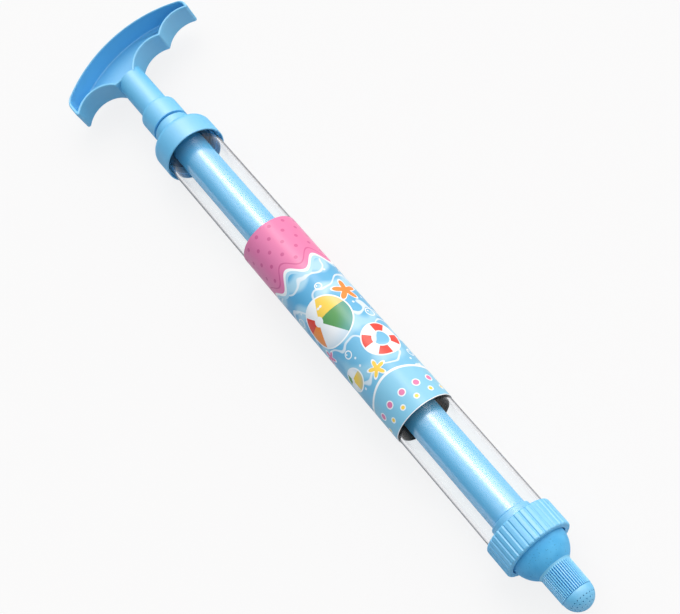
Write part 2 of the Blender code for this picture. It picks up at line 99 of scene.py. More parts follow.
def roundedProfile(corners, closed=True, arcSteps=6, hold=0.25):
    # Corners of (x, radius, rounding) joined by straight runs. Each corner becomes an arc that touches
    # both runs, with one more point past each end of the arc to hold the runs flat in the shading.
    corners = np.array(corners, float)
    points, rounds = corners[:, :2], corners[:, 2]
    if not closed:
        rounds = rounds * np.r_[0, np.ones(len(rounds) - 2), 0]
    back = np.roll(points, 1, axis=0) - points
    ahead = np.roll(points, -1, axis=0) - points
    back /= np.linalg.norm(back, axis=1, keepdims=True)
    ahead /= np.linalg.norm(ahead, axis=1, keepdims=True)
    halfAngle = np.arccos(np.clip((back * ahead).sum(1), -1, 1)) / 2
    reach = rounds / np.tan(halfAngle)
    first = points + back * reach[:, None]
    last = points + ahead * reach[:, None]
    middle = back + ahead
    middle /= np.maximum(np.linalg.norm(middle, axis=1, keepdims=True), 1e-12)
    centre = points + middle * (rounds / np.sin(halfAngle))[:, None]
    sweep = np.maximum(np.pi - 2 * halfAngle, 1e-6)[:, None, None]
    share = np.linspace(0, 1, arcSteps + 1)[None, :, None]
    start = (first - centre)[:, None]
    end = (last - centre)[:, None]
    swung = np.sin((1 - share) * sweep) * start + np.sin(share * sweep) * end
    arcs = centre[:, None] + swung / np.sin(sweep)
    before = (first + back * (hold * rounds)[:, None])[:, None]
    after = (last + ahead * (hold * rounds)[:, None])[:, None]
    return np.concatenate([before, arcs, after], axis=1).reshape(-1, 2)


def pipeProfile(rear, front, bore, radius, rounds, arcSteps=6):
    # a pipe's wall: inner and outer corner at the rear, then outer and inner at the front
    places = [(rear, bore), (rear, radius), (front, radius), (front, bore)]
    return roundedProfile(np.c_[places, np.broadcast_to(rounds, 4)], arcSteps=arcSteps)


def gridFaces(rows, columns, closedRows, closedColumns):
    # quads between neighbouring points of a grid, wrapped round where it is closed
    row = np.arange(rows if closedRows else rows - 1)[:, None]
    column = np.arange(columns if closedColumns else columns - 1)[None, :]
    nextRow = (row + 1) % rows
    nextColumn = (column + 1) % columns
    quads = [row * columns + column, nextRow * columns + column]
    quads += [nextRow * columns + nextColumn, row * columns + nextColumn]
    return np.stack(np.broadcast_arrays(*quads), axis=-1).reshape(-1, 4)


def closeMesh(mesh, nearest=1e-7):
    # doubles, such as those at the poles, are merged first, then the faces are made to agree and turned
    # outwards: a closed shape whose faces point inwards has a negative volume
    work = bmesh.new()
    work.from_mesh(mesh)
    bmesh.ops.remove_doubles(work, verts=work.verts, dist=nearest)
    bmesh.ops.recalc_face_normals(work, faces=work.faces)
    if work.calc_volume(signed=True) < 0:
        bmesh.ops.reverse_faces(work, faces=work.faces)
    work.to_mesh(mesh)
    work.free()


def newMesh(name, points, faces):
    mesh = bpy.data.meshes.new(name)
    mesh.from_pydata(points.reshape(-1, 3), [], faces)
    return mesh


def placeObject(name, data):
    thing = bpy.data.objects.new(name, data)
    bpy.context.scene.collection.objects.link(thing)
    return thing


def newPiece(name, points, faces):
    mesh = newMesh(name, points, faces)
    closeMesh(mesh)
    return placeObject(name, mesh)


def softenEdges(piece, degrees=32):
    # smooth shading, broken at edges that turn by more than this
    piece.data.shade_smooth()
    piece.data.set_sharp_from_angle(angle=np.radians(degrees))


def turnedPoints(profile, angles, shrink=None):
    # a profile of (x, radius) carried round the axis: y is radius times sine, z is radius times cosine,
    # with the angle counted from the top towards +Y. shrink(x, radius, angle) takes off some radius.
    x = np.broadcast_to(profile[:, :1], (len(profile), len(angles)))
    radius = np.broadcast_to(profile[:, 1:], x.shape)
    if shrink is not None:
        radius = radius - shrink(x, radius, angles[None, :])
    return np.stack([x, axisY + radius * np.sin(angles), axisZ + radius * np.cos(angles)], axis=-1)


def turnedPiece(name, profile, closed=True, columns=192, shrink=None):
    angles = np.linspace(0, fullTurn, columns, endpoint=False)
    points = turnedPoints(profile, angles, shrink)
    piece = newPiece(name, points, gridFaces(len(profile), columns, closed, True))
    softenEdges(piece)
    return piece


def smoothStep(low, high, value):
    # 0 up to low, 1 from high on, and in between 3 times the share squared less twice its cube
    share = np.clip((value - low) / (high - low), 0, 1)
    return share * share * (3 - 2 * share)


def ribsOn(sizes, outerRadius):
    # equal grooves along the axis with sloping sides: full depth within rootShare of half the pitch, none
    # past crestShare, and only on the outer skin, a ribBand of radius just under outerRadius. ribTurn is
    # the share of a pitch by which they start before the top
    def shrink(x, radius, angle):
        place = np.abs((angle * sizes["ribs"] / fullTurn + sizes["ribTurn"] + 0.5) % 1 - 0.5) * 2
        groove = 1 - smoothStep(sizes["rootShare"], sizes["crestShare"], place)
        fadeStart = outerRadius - sizes["ribBand"]
        return sizes["ribDepth"] * groove * smoothStep(fadeStart, fadeStart + sizes["ribBand"] / 2, radius)
    return shrink


def cutAndJoin(piece, steps):
    # runs Booleans in order, makes the result the piece's own mesh and drops the tools
    for operation, tool in steps:
        boolean = piece.modifiers.new(operation.lower(), "BOOLEAN")
        boolean.operation = operation
        boolean.object = tool
    bpy.context.view_layer.update()
    graph = bpy.context.evaluated_depsgraph_get()
    mesh = bpy.data.meshes.new_from_object(piece.evaluated_get(graph))
    closeMesh(mesh, nearest=1e-6)
    piece.modifiers.clear()
    piece.data = mesh
    for operation, tool in steps:
        bpy.data.objects.remove(tool)


def standFor(piece, node, *materials):
    # the piece takes the node's place, body and slot
    for material in materials:
        piece.data.materials.append(material)
    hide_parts(node)
    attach(piece, bodyOf[node])
    return piece


# Node helpers

def newMaterial(name):
    material = bpy.data.materials.new(name)
    material.use_nodes = True
    return material, material.node_tree, material.node_tree.nodes["Principled BSDF"]


def setSocket(tree, socket, value):
    # a Field or another node's socket is linked, and a plain value is set on the socket itself
    if isinstance(value, Field):
        tree.links.new(value.socket, socket)
    elif isinstance(value, bpy.types.NodeSocket):
        tree.links.new(value, socket)
    else:
        socket.default_value = value


def setInputs(tree, node, values):
    for name, value in values.items():
        setSocket(tree, node.inputs[name], value)


class Field:
    # a number that varies over a surface, so that a formula on it becomes Math nodes
    def __init__(self, tree, socket):
        self.tree = tree
        self.socket = socket

    def maths(self, operation, *others):
        node = self.tree.nodes.new("ShaderNodeMath")
        node.operation = operation
        for socket, value in zip(node.inputs, (self, *others)):
            setSocket(self.tree, socket, value)
        return Field(self.tree, node.outputs[0])

    def __add__(self, other):
        return self.maths("ADD", other)

    def __sub__(self, other):
        return self.maths("SUBTRACT", other)

    def __mul__(self, other):
        return self.maths("MULTIPLY", other)

    def __truediv__(self, other):
        return self.maths("DIVIDE", other)

    def ramp(self, low, high, lowValue=0.0, highValue=1.0):
        # eases from one value to another between two levels
        node = self.tree.nodes.new("ShaderNodeMapRange")
        node.interpolation_type = "SMOOTHSTEP"
        for socket, value in zip(node.inputs, (self, low, high, lowValue, highValue)):
            setSocket(self.tree, socket, value)
        return Field(self.tree, node.outputs[0])


def splitVector(tree, vector):
    node = tree.nodes.new("ShaderNodeSeparateXYZ")
    tree.links.new(vector, node.inputs[0])
    return [Field(tree, socket) for socket in node.outputs]


def objectCoords(tree):
    return tree.nodes.new("ShaderNodeTexCoord").outputs["Object"]


def axisCoords(tree):
    # the place along the barrel's axis and the distance from it
    along, y, z = splitVector(tree, objectCoords(tree))
    offY = y - axisY
    offZ = z - axisZ
    return along, (offY * offY + offZ * offZ).maths("SQRT")


noiseMiddle = (0.3, 0.7)  # levels that most of a noise lies between


def noiseField(tree, coords, scale, detail):
    node = tree.nodes.new("ShaderNodeTexNoise")
    setInputs(tree, node, {"Vector": coords, "Scale": scale, "Detail": detail})
    return Field(tree, node.outputs["Fac"])


def cellField(tree, coords, scale):
    # distance to the nearest of many scattered points, in cells
    node = tree.nodes.new("ShaderNodeTexVoronoi")
    setInputs(tree, node, {"Vector": coords, "Scale": scale})
    return Field(tree, node.outputs["Distance"])


def mixColours(tree, share, under, over):
    node = tree.nodes.new("ShaderNodeMix")
    node.data_type = "RGBA"
    setSocket(tree, node.inputs[0], share)
    setSocket(tree, node.inputs[6], under)
    setSocket(tree, node.inputs[7], over)
    return node.outputs[2]


def mixShaders(tree, share, under, over):
    node = tree.nodes.new("ShaderNodeMixShader")
    for socket, value in zip(node.inputs, (share, under, over)):
        setSocket(tree, socket, value)
    return node.outputs[0]


def raiseBumps(tree, shader, height, strength, distance):
    node = tree.nodes.new("ShaderNodeBump")
    setInputs(tree, node, {"Strength": strength, "Distance": distance, "Height": height})
    tree.links.new(node.outputs["Normal"], shader.inputs["Normal"])


# Finishes

blueFinish = {
    "light": screen(97, 189, 236),
    "dark": screen(92, 185, 233),
    "mottleScale": 30,  # of the slow change of shade, per metre
    "glossScale": 120,
    "unevenGloss": 0.06,  # share by which the roughness goes up and down
    "grainScale": 2600,
    "grainStrength": 0.15,
    "grainHeight": 0.01 * mm,
    "skinIor": 3.0,  # of the smooth moulded skin, which makes all the gloss
    "skinShare": 0.54,
    "skinRoughness": 0.45,
}


def bluePlastic(name, roughness, **changes):
    # glossy moulded plastic: slow shade change, fine moulding grain, a little uneven gloss
    finish = dict(blueFinish, **changes)
    material, tree, shader = newMaterial(name)
    coords = objectCoords(tree)
    mottle = noiseField(tree, coords, finish["mottleScale"], 3)
    grain = noiseField(tree, coords, finish["grainScale"], 2)
    shine = noiseField(tree, coords, finish["glossScale"], 2)
    uneven = roughness * finish["unevenGloss"]
    setInputs(tree, shader, {
        "Base Color": mixColours(tree, mottle.ramp(*noiseMiddle), finish["dark"], finish["light"]),
        "Roughness": shine.ramp(*noiseMiddle, roughness - uneven, roughness + uneven),
        "Specular IOR Level": 0.0,
        "Coat Weight": finish["skinShare"],
        "Coat Roughness": finish["skinRoughness"],
        "Coat IOR": finish["skinIor"],
    })
    raiseBumps(tree, shader, grain, finish["grainStrength"], finish["grainHeight"])
    return material


def shadeGrooves(material, rear, front, depth, colour):
    # painted shade in grooves: a darker colour by how far a point lies under the cone from rear to front,
    # each (x, radius): it comes in between a fifth and four fifths of the depth
    tree = material.node_tree
    base = tree.nodes["Principled BSDF"].inputs["Base Color"]
    along, fromAxis = axisCoords(tree)
    under = along.ramp(rear[0], front[0], rear[1], front[1]) - fromAxis
    share = under.ramp(0.2 * depth, 0.8 * depth)
    tree.links.new(mixColours(tree, share, base.links[0].from_socket, colour), base)
    return material


mattFinish = {
    "light": screen(90, 184, 237),
    "dark": screen(78, 173, 229),
    # painted shade in the pits
    "pit": screen(42, 116, 174),
    "pitScale": 900,  # cells per metre
    "pitReach": (0.12, 0.34),  # of a cell, from a pit's floor to its edge
    "pitLevels": (0.5, 0.62),  # of a noise that chooses the cells with a pit
    "pitTone": 0.75,
    "grainScale": 2200,
    "grainShare": 0.35,  # of a pit's depth
    "mottleScale": 160,
    "roughness": (0.45, 0.58),
    "gloss": 0.25,
    "bumpStrength": 0.5,
    "bumpHeight": 0.06 * mm,
}


def mattPlastic(name, finish=mattFinish):
    # spark-eroded mould finish: small scattered pits on a fine grain, coloured darker as painted shade in
    # them
    material, tree, shader = newMaterial(name)
    coords = objectCoords(tree)
    nearness = cellField(tree, coords, finish["pitScale"]).ramp(*finish["pitReach"], 1, 0)
    pits = nearness * noiseField(tree, coords, finish["pitScale"] / 3, 1).ramp(*finish["pitLevels"])
    grain = noiseField(tree, coords, finish["grainScale"], 2)
    mottle = noiseField(tree, coords, finish["mottleScale"], 3).ramp(*noiseMiddle)
    colour = mixColours(tree, mottle, finish["dark"], finish["light"])
    setInputs(tree, shader, {
        # the pits are darkened with painted shade, besides their bump
        "Base Color": mixColours(tree, pits * finish["pitTone"], colour, finish["pit"]),
        "Roughness": grain.ramp(*noiseMiddle, *finish["roughness"]),
        "Specular IOR Level": finish["gloss"],
    })
    height = grain * finish["grainShare"] - pits
    raiseBumps(tree, shader, height, finish["bumpStrength"], finish["bumpHeight"])
    return material


clearFinish = {
    "tint": screen(252, 254, 255),
    "softTint": screen(236, 236, 241),  # painted grey shade towards the outer wall's edge
    "softSlant": (0.35, 0.72),  # how far the wall turns away where that painted shade starts and is full
    "edgeTint": screen(46, 48, 54),  # painted dark line where the outer wall is looked along
    "edgeSlant": (0.64, 0.8),
    "wallChange": 0.1 * mm,  # either side of the wall's middle, from the inner to the outer wall
    "ior": 1.22,
    "roughness": (0.01, 0.02),
    "lineScale": (1.5, 260, 260),  # of long faint lines along the axis
    "lineLevels": (0.35, 0.7),
    "lineStrength": 0.008,
    "lineHeight": 0.01 * mm,
}


def clearPlastic(name, middleRadius, finish=clearFinish):
    # drawn clear tube: sharp gloss with faint lines along it, and a painted grey shade in its colour where
    # the sight runs along the wall. Lamp rays and diffuse rays pass straight through
    material, tree, shader = newMaterial(name)
    stretch = tree.nodes.new("ShaderNodeMapping")
    setInputs(tree, stretch, {"Vector": objectCoords(tree), "Scale": finish["lineScale"]})
    lines = noiseField(tree, stretch.outputs["Vector"], 1.0, 3)
    change = finish["wallChange"]
    outside = axisCoords(tree)[1].ramp(middleRadius - change, middleRadius + change)
    facing = tree.nodes.new("ShaderNodeLayerWeight")
    facing.inputs["Blend"].default_value = 0.5
    slant = Field(tree, facing.outputs["Facing"])
    colour = finish["tint"]
    # the two tints taken here are painted shades: grey, then dark, as the wall turns away from the sight
    for levels, tint in (("softSlant", "softTint"), ("edgeSlant", "edgeTint")):
        colour = mixColours(tree, slant.ramp(*finish[levels]) * outside, colour, finish[tint])
    setInputs(tree, shader, {
        "Base Color": colour,
        "Transmission Weight": 1.0,
        "IOR": finish["ior"],
        "Roughness": lines.ramp(*finish["lineLevels"], *finish["roughness"]),
    })
    raiseBumps(tree, shader, lines, finish["lineStrength"], finish["lineHeight"])
    path = tree.nodes.new("ShaderNodeLightPath")
    through = tree.nodes.new("ShaderNodeBsdfTransparent").outputs[0]
    surface = shader.outputs["BSDF"]
    for ray in ("Is Diffuse Ray", "Is Shadow Ray"):
        surface = mixShaders(tree, path.outputs[ray], surface, through)
    tree.links.new(surface, tree.nodes["Material Output"].inputs["Surface"])
    return material


grainLook = {"toneLevels": (0.35, 0.65), "unevenGloss": 0.06, "bumpStrength": 0.3}


def grainyFinish(name, light, dark, scale, roughness, bump, metallic=0.0, look=grainLook):
    # plain moulded or plated surface: two close shades over a grain that also sets gloss and bump
    material, tree, shader = newMaterial(name)
    grain = noiseField(tree, objectCoords(tree), scale, 3)
    uneven = look["unevenGloss"]
    setInputs(tree, shader, {
        "Base Color": mixColours(tree, grain.ramp(*look["toneLevels"]), dark, light),
        "Roughness": grain.ramp(*noiseMiddle, roughness - uneven, roughness + uneven),
        "Metallic": metallic,
    })
    raiseBumps(tree, shader, grain, look["bumpStrength"], bump)
    return material


# Label print, in millimetres on the sleeve: across from the middle of a panel, along from the rear edge.
# The sleeve carries the same panel twice, above and below.

labelPrint = {
    "foam": screen(234, 240, 244),
    "waterLight": screen(164, 209, 232),
    "waterDark": screen(90, 170, 215),
    "bandBlue": screen(130, 196, 226),
    "pink": screen(219, 122, 169),
    "deepPink": screen(199, 93, 145),
    "red": screen(216, 66, 54),
    "orange": screen(234, 138, 58),
    "yellow": screen(240, 204, 80),
    "green": screen(84, 150, 84),
    "edge": 0.12,  # softness of a printed edge
    # water: waves along the sleeve that a noise drifts, and small drops
    "driftScale": 34,
    "swirlPitch": 0.24,  # radians per millimetre
    "swirlDrift": 9,
    "glintPitch": 0.31,
    "glintDrift": 15,
    "pale": (60, 135),  # where it turns paler towards the front
    "paleShare": 0.6,
    "dropScale": 130,
    # things for the water: centre, radius and colours
    "balls": (
        ((-6, 82), 16.5, ("red", "foam", "yellow", "green", "foam", "orange")),
        ((-19, 121), 7, ("green", "foam", "yellow", "foam")),
    ),
    "ballRim": 0.9,
    "swimRing": ((13, 113), 9),
    "swimRingWidth": 6,
    "swimRingRim": 0.8,
    "stars": (((17, 71), 8.5, "orange"), ((-2, 128), 5.5, "yellow"), ((-24, 97), 5, "pink")),
    "starRim": 1.2,
    "bubbles": (((21, 92), 3.2), ((-24, 66), 3), ((4, 60), 2.2), ((26, 128), 2.6), ((-10, 108), 2.4)),
    "bubbleLine": 0.7,
    # front band
    "bandStart": 139,
    "bandBow": 3.5,
    "bandRim": 1.6,
    "dotsAcross": 6,  # in one panel
    "bandDots": ((150, 0, 1.9, "pink"), (157.5, 0.5, 1.2, "yellow")),  # place along, shift, radius, colour
    "dotRim": 0.7,
    # rear header, measured in from its wavy border
    "headerEnd": 40,
    "waves": 3,  # of the border, in one panel
    "waveHeight": 4.2,
    "headerFoam": 2.4,
    "headerWash": 5,
    "headerLine": 5,
    "headerLineHalf": 0.6,
    "headerDotPitch": 7.5,
    "headerDotRadius": 1.3,
    "headerDotMargin": 9,
    "bareEdge": 0.5,  # of paper at the front
    # film
    "wrinkleScale": 90,
    "wrinkleStrength": 0.08,
    "wrinkleHeight": 0.3 * mm,
    "roughness": (0.28, 0.36),
    "gloss": 0.1,
    "skinShare": 0.26,
    "skinRoughness": 0.2,
    "skinIor": 2.0,
}


def labelMaterials(panelWidth, length, sizes=labelPrint):
    # Flat shapes painted one over the other. Each mask is how far a point lies inside the shape's border,
    # turned into 0 or 1 with a soft edge. Gives the print, the paper of the cut edges and the dark lining.
    material, tree, shader = newMaterial("printedFilm")
    uv = tree.nodes.new("ShaderNodeUVMap")
    uv.uv_map = "sleeve"
    around, endways, _ = splitVector(tree, uv.outputs["UV"])
    width = panelWidth / mm
    across = ((around * 2).maths("FRACT") - 0.5) * width
    along = endways * (length / mm)
    join = tree.nodes.new("ShaderNodeCombineXYZ")
    setInputs(tree, join, {"X": across, "Y": along})
    place = join.outputs[0]
    coords = objectCoords(tree)
    edge = sizes["edge"]
    waveTurn = across * (fullTurn * sizes["waves"] / width)
    dotPitch = width / sizes["dotsAcross"]

    def inside(depth):
        return depth.ramp(-edge, edge)

    def distanceTo(centre):
        node = tree.nodes.new("ShaderNodeVectorMath")
        node.operation = "DISTANCE"
        tree.links.new(place, node.inputs[0])
        node.inputs[1].default_value = (*centre, 0)
        return Field(tree, node.outputs["Value"])

    def angleAbout(centre):
        return (along - centre[1]).maths("ARCTAN2", across - centre[0])

    def disc(centre, radius):
        return inside(distanceTo(centre) * -1 + radius)

    def ring(centre, radius, lineWidth):
        return inside((distanceTo(centre) - radius).maths("ABSOLUTE") * -1 + lineWidth / 2)

    def star(centre, size, points, depth, turn):
        # the border's distance from the centre follows a cosine of the angle
        rim = (angleAbout(centre) * points + turn).maths("COSINE") * (size * depth) + size * (1 - depth)
        return inside(rim - distanceTo(centre))

    def offset(centre, acrossShare, alongShare, radius):
        # a point beside the centre, by shares of the radius
        return centre[0] + radius * acrossShare, centre[1] + radius * alongShare

    def dotSpread(shift, rise):
        # distance from the nearest dot of a row
        step = ((across / dotPitch + shift).maths("FRACT") - 0.5) * dotPitch
        return (step * step + rise * rise).maths("SQRT")

    def paint(under, colour, mask):
        # colours by name, or sockets
        under, colour = (sizes[tone] if isinstance(tone, str) else tone for tone in (under, colour))
        return mixColours(tree, mask, under, colour)

    def gores(centre, colours):
        # wedges about a point, one colour each
        ramp = tree.nodes.new("ShaderNodeValToRGB")
        ramp.color_ramp.interpolation = "CONSTANT"
        setSocket(tree, ramp.inputs[0], angleAbout(centre) / fullTurn + 0.5)
        stops = ramp.color_ramp.elements
        for number in range(2, len(colours)):
            stops.new(number / len(colours))
        for number, colour in enumerate(colours):
            stops[number].position = number / len(colours)
            stops[number].color = sizes[colour]
        return ramp.outputs["Color"]

    def ball(under, centre, radius, colours):
        # gores about a pale pole, a shaded far side and a short glint, on a pale rim
        pole = offset(centre, -0.28, -0.24, radius)
        shade = distanceTo(offset(centre, -0.3, -0.3, radius)).ramp(radius * 0.7, radius * 1.5, 0, 0.4)
        skin = paint(gores(pole, colours), "foam", disc(pole, radius * 0.2))
        skin = paint(skin, "waterDark", shade)
        skin = paint(skin, "foam", star(offset(centre, 0.1, -0.62, radius), radius * 0.12, 2, 0.45, 0))
        under = paint(under, "foam", disc(centre, radius + sizes["ballRim"]))
        return paint(under, skin, disc(centre, radius))

    # water with slow light swirls, glints and small drops
    drift = noiseField(tree, coords, sizes["driftScale"], 2)
    swirl = along * sizes["swirlPitch"] + drift * sizes["swirlDrift"] + waveTurn.maths("SINE") * 0.8
    colour = paint("waterDark", "waterLight", swirl.maths("SINE").ramp(-0.5, 0.9))
    colour = paint(colour, "bandBlue", along.ramp(*sizes["pale"]) * sizes["paleShare"])
    glint = along * sizes["glintPitch"] + drift * sizes["glintDrift"] + waveTurn.maths("COSINE")
    colour = paint(colour, "foam", glint.maths("SINE").ramp(0.9, 0.99) * 0.7)
    drops = cellField(tree, coords, sizes["dropScale"]).ramp(0.10, 0.13, 1, 0)
    colour = paint(colour, "foam", drops * 0.8)

    # things for the water, each with a pale rim
    for centre, radius, colours in sizes["balls"]:
        colour = ball(colour, centre, radius, colours)
    centre, radius = sizes["swimRing"]
    lineWidth = sizes["swimRingWidth"]
    stripes = (angleAbout(centre) * 4).maths("SINE").ramp(-0.08, 0.08)
    colour = paint(colour, "foam", ring(centre, radius, lineWidth + 2 * sizes["swimRingRim"]))
    colour = paint(colour, paint("foam", "red", stripes), ring(centre, radius, lineWidth))
    for centre, size, tone in sizes["stars"]:
        colour = paint(colour, "foam", star(centre, size + sizes["starRim"], 5, 0.3, 0.6))
        colour = paint(colour, tone, star(centre, size, 5, 0.32, 0.6))
    for centre, radius in sizes["bubbles"]:
        colour = paint(colour, "foam", ring(centre, radius, sizes["bubbleLine"]))
        colour = paint(colour, "foam", disc(offset(centre, -0.35, -0.35, radius), radius * 0.22))

    # front band with a bowed border and rows of dots
    bow = (across * (fullTurn / width)).maths("COSINE") * sizes["bandBow"]
    bandDepth = along - sizes["bandStart"] + bow
    colour = paint(colour, "foam", inside(bandDepth + sizes["bandRim"]))
    colour = paint(colour, "bandBlue", inside(bandDepth))
    for row, shift, radius, tone in sizes["bandDots"]:
        spread = dotSpread(shift + 0.5, along - row)
        colour = paint(colour, "foam", inside(spread * -1 + radius + sizes["dotRim"]))
        colour = paint(colour, tone, inside(spread * -1 + radius))

    # rear header with a wavy border, a foam line, a thin line and a dotted field
    headerDepth = along * -1 + sizes["headerEnd"] + waveTurn.maths("SINE") * sizes["waveHeight"]
    colour = paint(colour, "waterLight", inside(headerDepth + sizes["headerWash"]))
    colour = paint(colour, "foam", inside(headerDepth + sizes["headerFoam"]))
    colour = paint(colour, "pink", inside(headerDepth))
    rows = along / sizes["headerDotPitch"]
    spread = dotSpread(rows.maths("FLOOR") * 0.5, (rows.maths("FRACT") - 0.5) * sizes["headerDotPitch"])
    dots = inside(spread * -1 + sizes["headerDotRadius"]) * inside(headerDepth - sizes["headerDotMargin"])
    colour = paint(colour, "deepPink", dots)
    fromLine = (headerDepth - sizes["headerLine"]).maths("ABSOLUTE")
    colour = paint(colour, "deepPink", inside(fromLine * -1 + sizes["headerLineHalf"]))

    # bare paper along the front edge
    colour = paint(colour, "foam", inside(along - (length / mm - sizes["bareEdge"])))
    wrinkle = noiseField(tree, coords, sizes["wrinkleScale"], 2)
    setInputs(tree, shader, {
        "Base Color": colour,
        "Roughness": wrinkle.ramp(*noiseMiddle, *sizes["roughness"]),
        "Specular IOR Level": sizes["gloss"],
        "Coat Weight": sizes["skinShare"],
        "Coat Roughness": sizes["skinRoughness"],
        "Coat IOR": sizes["skinIor"],
    })
    raiseBumps(tree, shader, wrinkle, sizes["wrinkleStrength"], sizes["wrinkleHeight"])
    plain = {"roughness": 0.6, "bump": 0.02 * mm}
    paper = grainyFinish("labelPaper", screen(238, 239, 238), screen(228, 230, 230), 1500, **plain)
    lining = grainyFinish("labelLining", screen(38, 47, 49), screen(31, 39, 42), 700, **plain)
    return material, paper, lining


# Barrel

clearTube = {"wall": 2.0 * mm, "lip": 0.4 * mm, "columns": 640}


def makeBarrelTube(sizes=clearTube):
    # a plain pipe
    rear, front, radius = stationsOf("barrel_tube")
    wall = sizes["wall"]
    profile = pipeProfile(rear, front, radius - wall, radius, sizes["lip"])
    piece = turnedPiece("clearBarrel", profile, columns=sizes["columns"])
    return standFor(piece, "barrel_tube", clearPlastic("clearTube", radius - wall / 2))


labelSleeve = {
    "gap": 0.12 * mm,  # to the tube under it
    "film": 0.3 * mm,
    "innerRound": 0.04 * mm,
    "outerRound": 0.08 * mm,
    "lap": 0.12 * mm,  # step where the film overlaps itself
    "lapWidth": 9 * mm,
    "columns": 256,
}


def makeLabelSleeve(sizes=labelSleeve):
    # A thin closed tube whose radius steps up over the lap. Angle 0 of its map is the -Y side, so that one
    # printed panel is centred on top and the other underneath.
    rear, front, _ = stationsOf("label_sleeve")
    inner = radiusOf("barrel_tube") + sizes["gap"]
    outer = inner + sizes["film"]
    columns = sizes["columns"]
    around = np.arange(columns + 1) / columns
    angles = (around[:-1] - 0.25) * fullTurn
    rounds = [sizes[corner] for corner in ("innerRound", "outerRound", "outerRound", "innerRound")]
    profile = pipeProfile(rear, front, inner, outer, rounds, arcSteps=3)

    def lapStep(x, radius, angle):
        # only on the outer skin, and eased off over the last tenth of the lap
        share = (angle / fullTurn + 0.25) * fullTurn * outer / sizes["lapWidth"]
        return -sizes["lap"] * (1 - smoothStep(0.9, 1.0, share)) * (radius > outer - 0.1 * mm)

    points = turnedPoints(profile, angles, lapStep)
    mesh = newMesh("labelSleeve", points, gridFaces(len(profile), columns, True, True))
    # the map runs on round the seam: its last column ends at 1
    onLength = np.clip((profile[:, 0] - rear) / (front - rear), 0, 1)
    row = np.arange(len(profile))[:, None]
    column = np.arange(columns)[None, :]
    nextRow = (row + 1) % len(profile)
    rowsOfQuad = np.stack(np.broadcast_arrays(row, nextRow, nextRow, row + 0 * column), axis=-1)
    columnsOfQuad = np.stack(np.broadcast_arrays(column + 0 * row, column, column + 1, column + 1), axis=-1)
    sleeveMap = np.stack([around[columnsOfQuad], onLength[rowsOfQuad]], axis=-1)
    mesh.uv_layers.new(name="sleeve").uv.foreach_set("vector", sleeveMap.astype(np.float32).ravel())
    # print outside, paper on the cut edges, lining inside
    radii = profile[:, 1]
    nextRadii = np.roll(radii, -1)
    rowTone = np.where(np.minimum(radii, nextRadii) > outer - 0.05 * mm, 0, 1)
    rowTone = np.where(np.maximum(radii, nextRadii) < inner + 0.01 * mm, 2, rowTone)
    mesh.polygons.foreach_set("material_index", np.repeat(rowTone, columns).astype(np.int32))
    piece = placeObject("labelSleeve", mesh)
    softenEdges(piece)
    return standFor(piece, "label_sleeve", *labelMaterials(np.pi * outer, front - rear))


rearCap = {
    "rimRound": 0.5 * mm,
    "neckLength": 11.8 * mm,
    "shoulderRound": 5.0 * mm,
    "endWall": 2.6 * mm,
    "neckRadius": 13.7 * mm,
    "neckRound": 1.8 * mm,
    "grooveWidth": 1.3 * mm,  # dark ring next to the handle's socket
    "grooveDepth": 2.2 * mm,
    "mouthRadius": 21.6 * mm,
    "mouthDepth": 4.0 * mm,
    "roughness": 0.3,
}


def makeRearCap(sizes=rearCap):
    # a skirt over the tube, a rounded shoulder and a neck for the rod, turned from one profile
    neckEnd, rim, radius = stationsOf("rear_cap")
    rodHole = radiusOf("plunger_tube") + cadGap
    skirtBore = radiusOf("barrel_tube") + cadGap
    back = neckEnd + sizes["neckLength"]
    inside = back + sizes["endWall"]
    grooveEnd = neckEnd + sizes["grooveWidth"]
    grooveFloor = sizes["neckRadius"] - sizes["grooveDepth"]
    mouthEnd = rim - sizes["mouthDepth"]
    corners = [
        (rim, radius, sizes["rimRound"]),
        (back, radius, sizes["shoulderRound"]),
        (back, sizes["neckRadius"], sizes["neckRound"]),
        (grooveEnd, sizes["neckRadius"], 0.5 * mm),
        (grooveEnd, grooveFloor, 0.1 * mm),
        (neckEnd, grooveFloor, 0.1 * mm),
        (neckEnd, rodHole, 0.1 * mm),
        (inside, rodHole, 0.2 * mm),
        (inside, skirtBore, 0.5 * mm),
        (mouthEnd, skirtBore, 0.2 * mm),
        (mouthEnd, sizes["mouthRadius"], 0.2 * mm),
        (rim, sizes["mouthRadius"], 0.2 * mm),
    ]
    piece = turnedPiece("rearCap", roundedProfile(corners, arcSteps=8))
    return standFor(piece, "rear_cap", bluePlastic("capBlue", sizes["roughness"]))


rodGuide = {
    "rounds": (0.3 * mm, 0.5 * mm, 0.8 * mm, 0.8 * mm),
    "roughness": 0.42,
    # its dark colours are painted shade, for the unlit inside behind the rear cap
    "finish": {"light": screen(18, 74, 104), "dark": screen(14, 66, 94), "skinShare": 0.12},
}


def makeRodGuide(sizes=rodGuide):
    # a plain ring, in deep blue as painted shade of the barrel's dark inside
    rear, front, radius = stationsOf("rod_guide")
    hole = radiusOf("plunger_tube") + cadGap
    piece = turnedPiece("rodGuide", pipeProfile(rear, front, hole, radius, sizes["rounds"]))
    return standFor(piece, "rod_guide", bluePlastic("guideBlue", sizes["roughness"], **sizes["finish"]))


frontCollar = {
    "lip": 3.0 * mm,
    "gapRadius": 18.75 * mm,  # of a narrow gap round the dome
    "gapDepth": 2.2 * mm,
    "edgeRound": 1.1 * mm,
    "ribs": 36,
    "ribTurn": 0.6,
    "ribDepth": 0.6 * mm,
    "ribBand": 1.6 * mm,
    "crestShare": 0.48,
    "rootShare": 0.06,
    "columnsPerRib": 16,
    "roughness": 0.33,
}


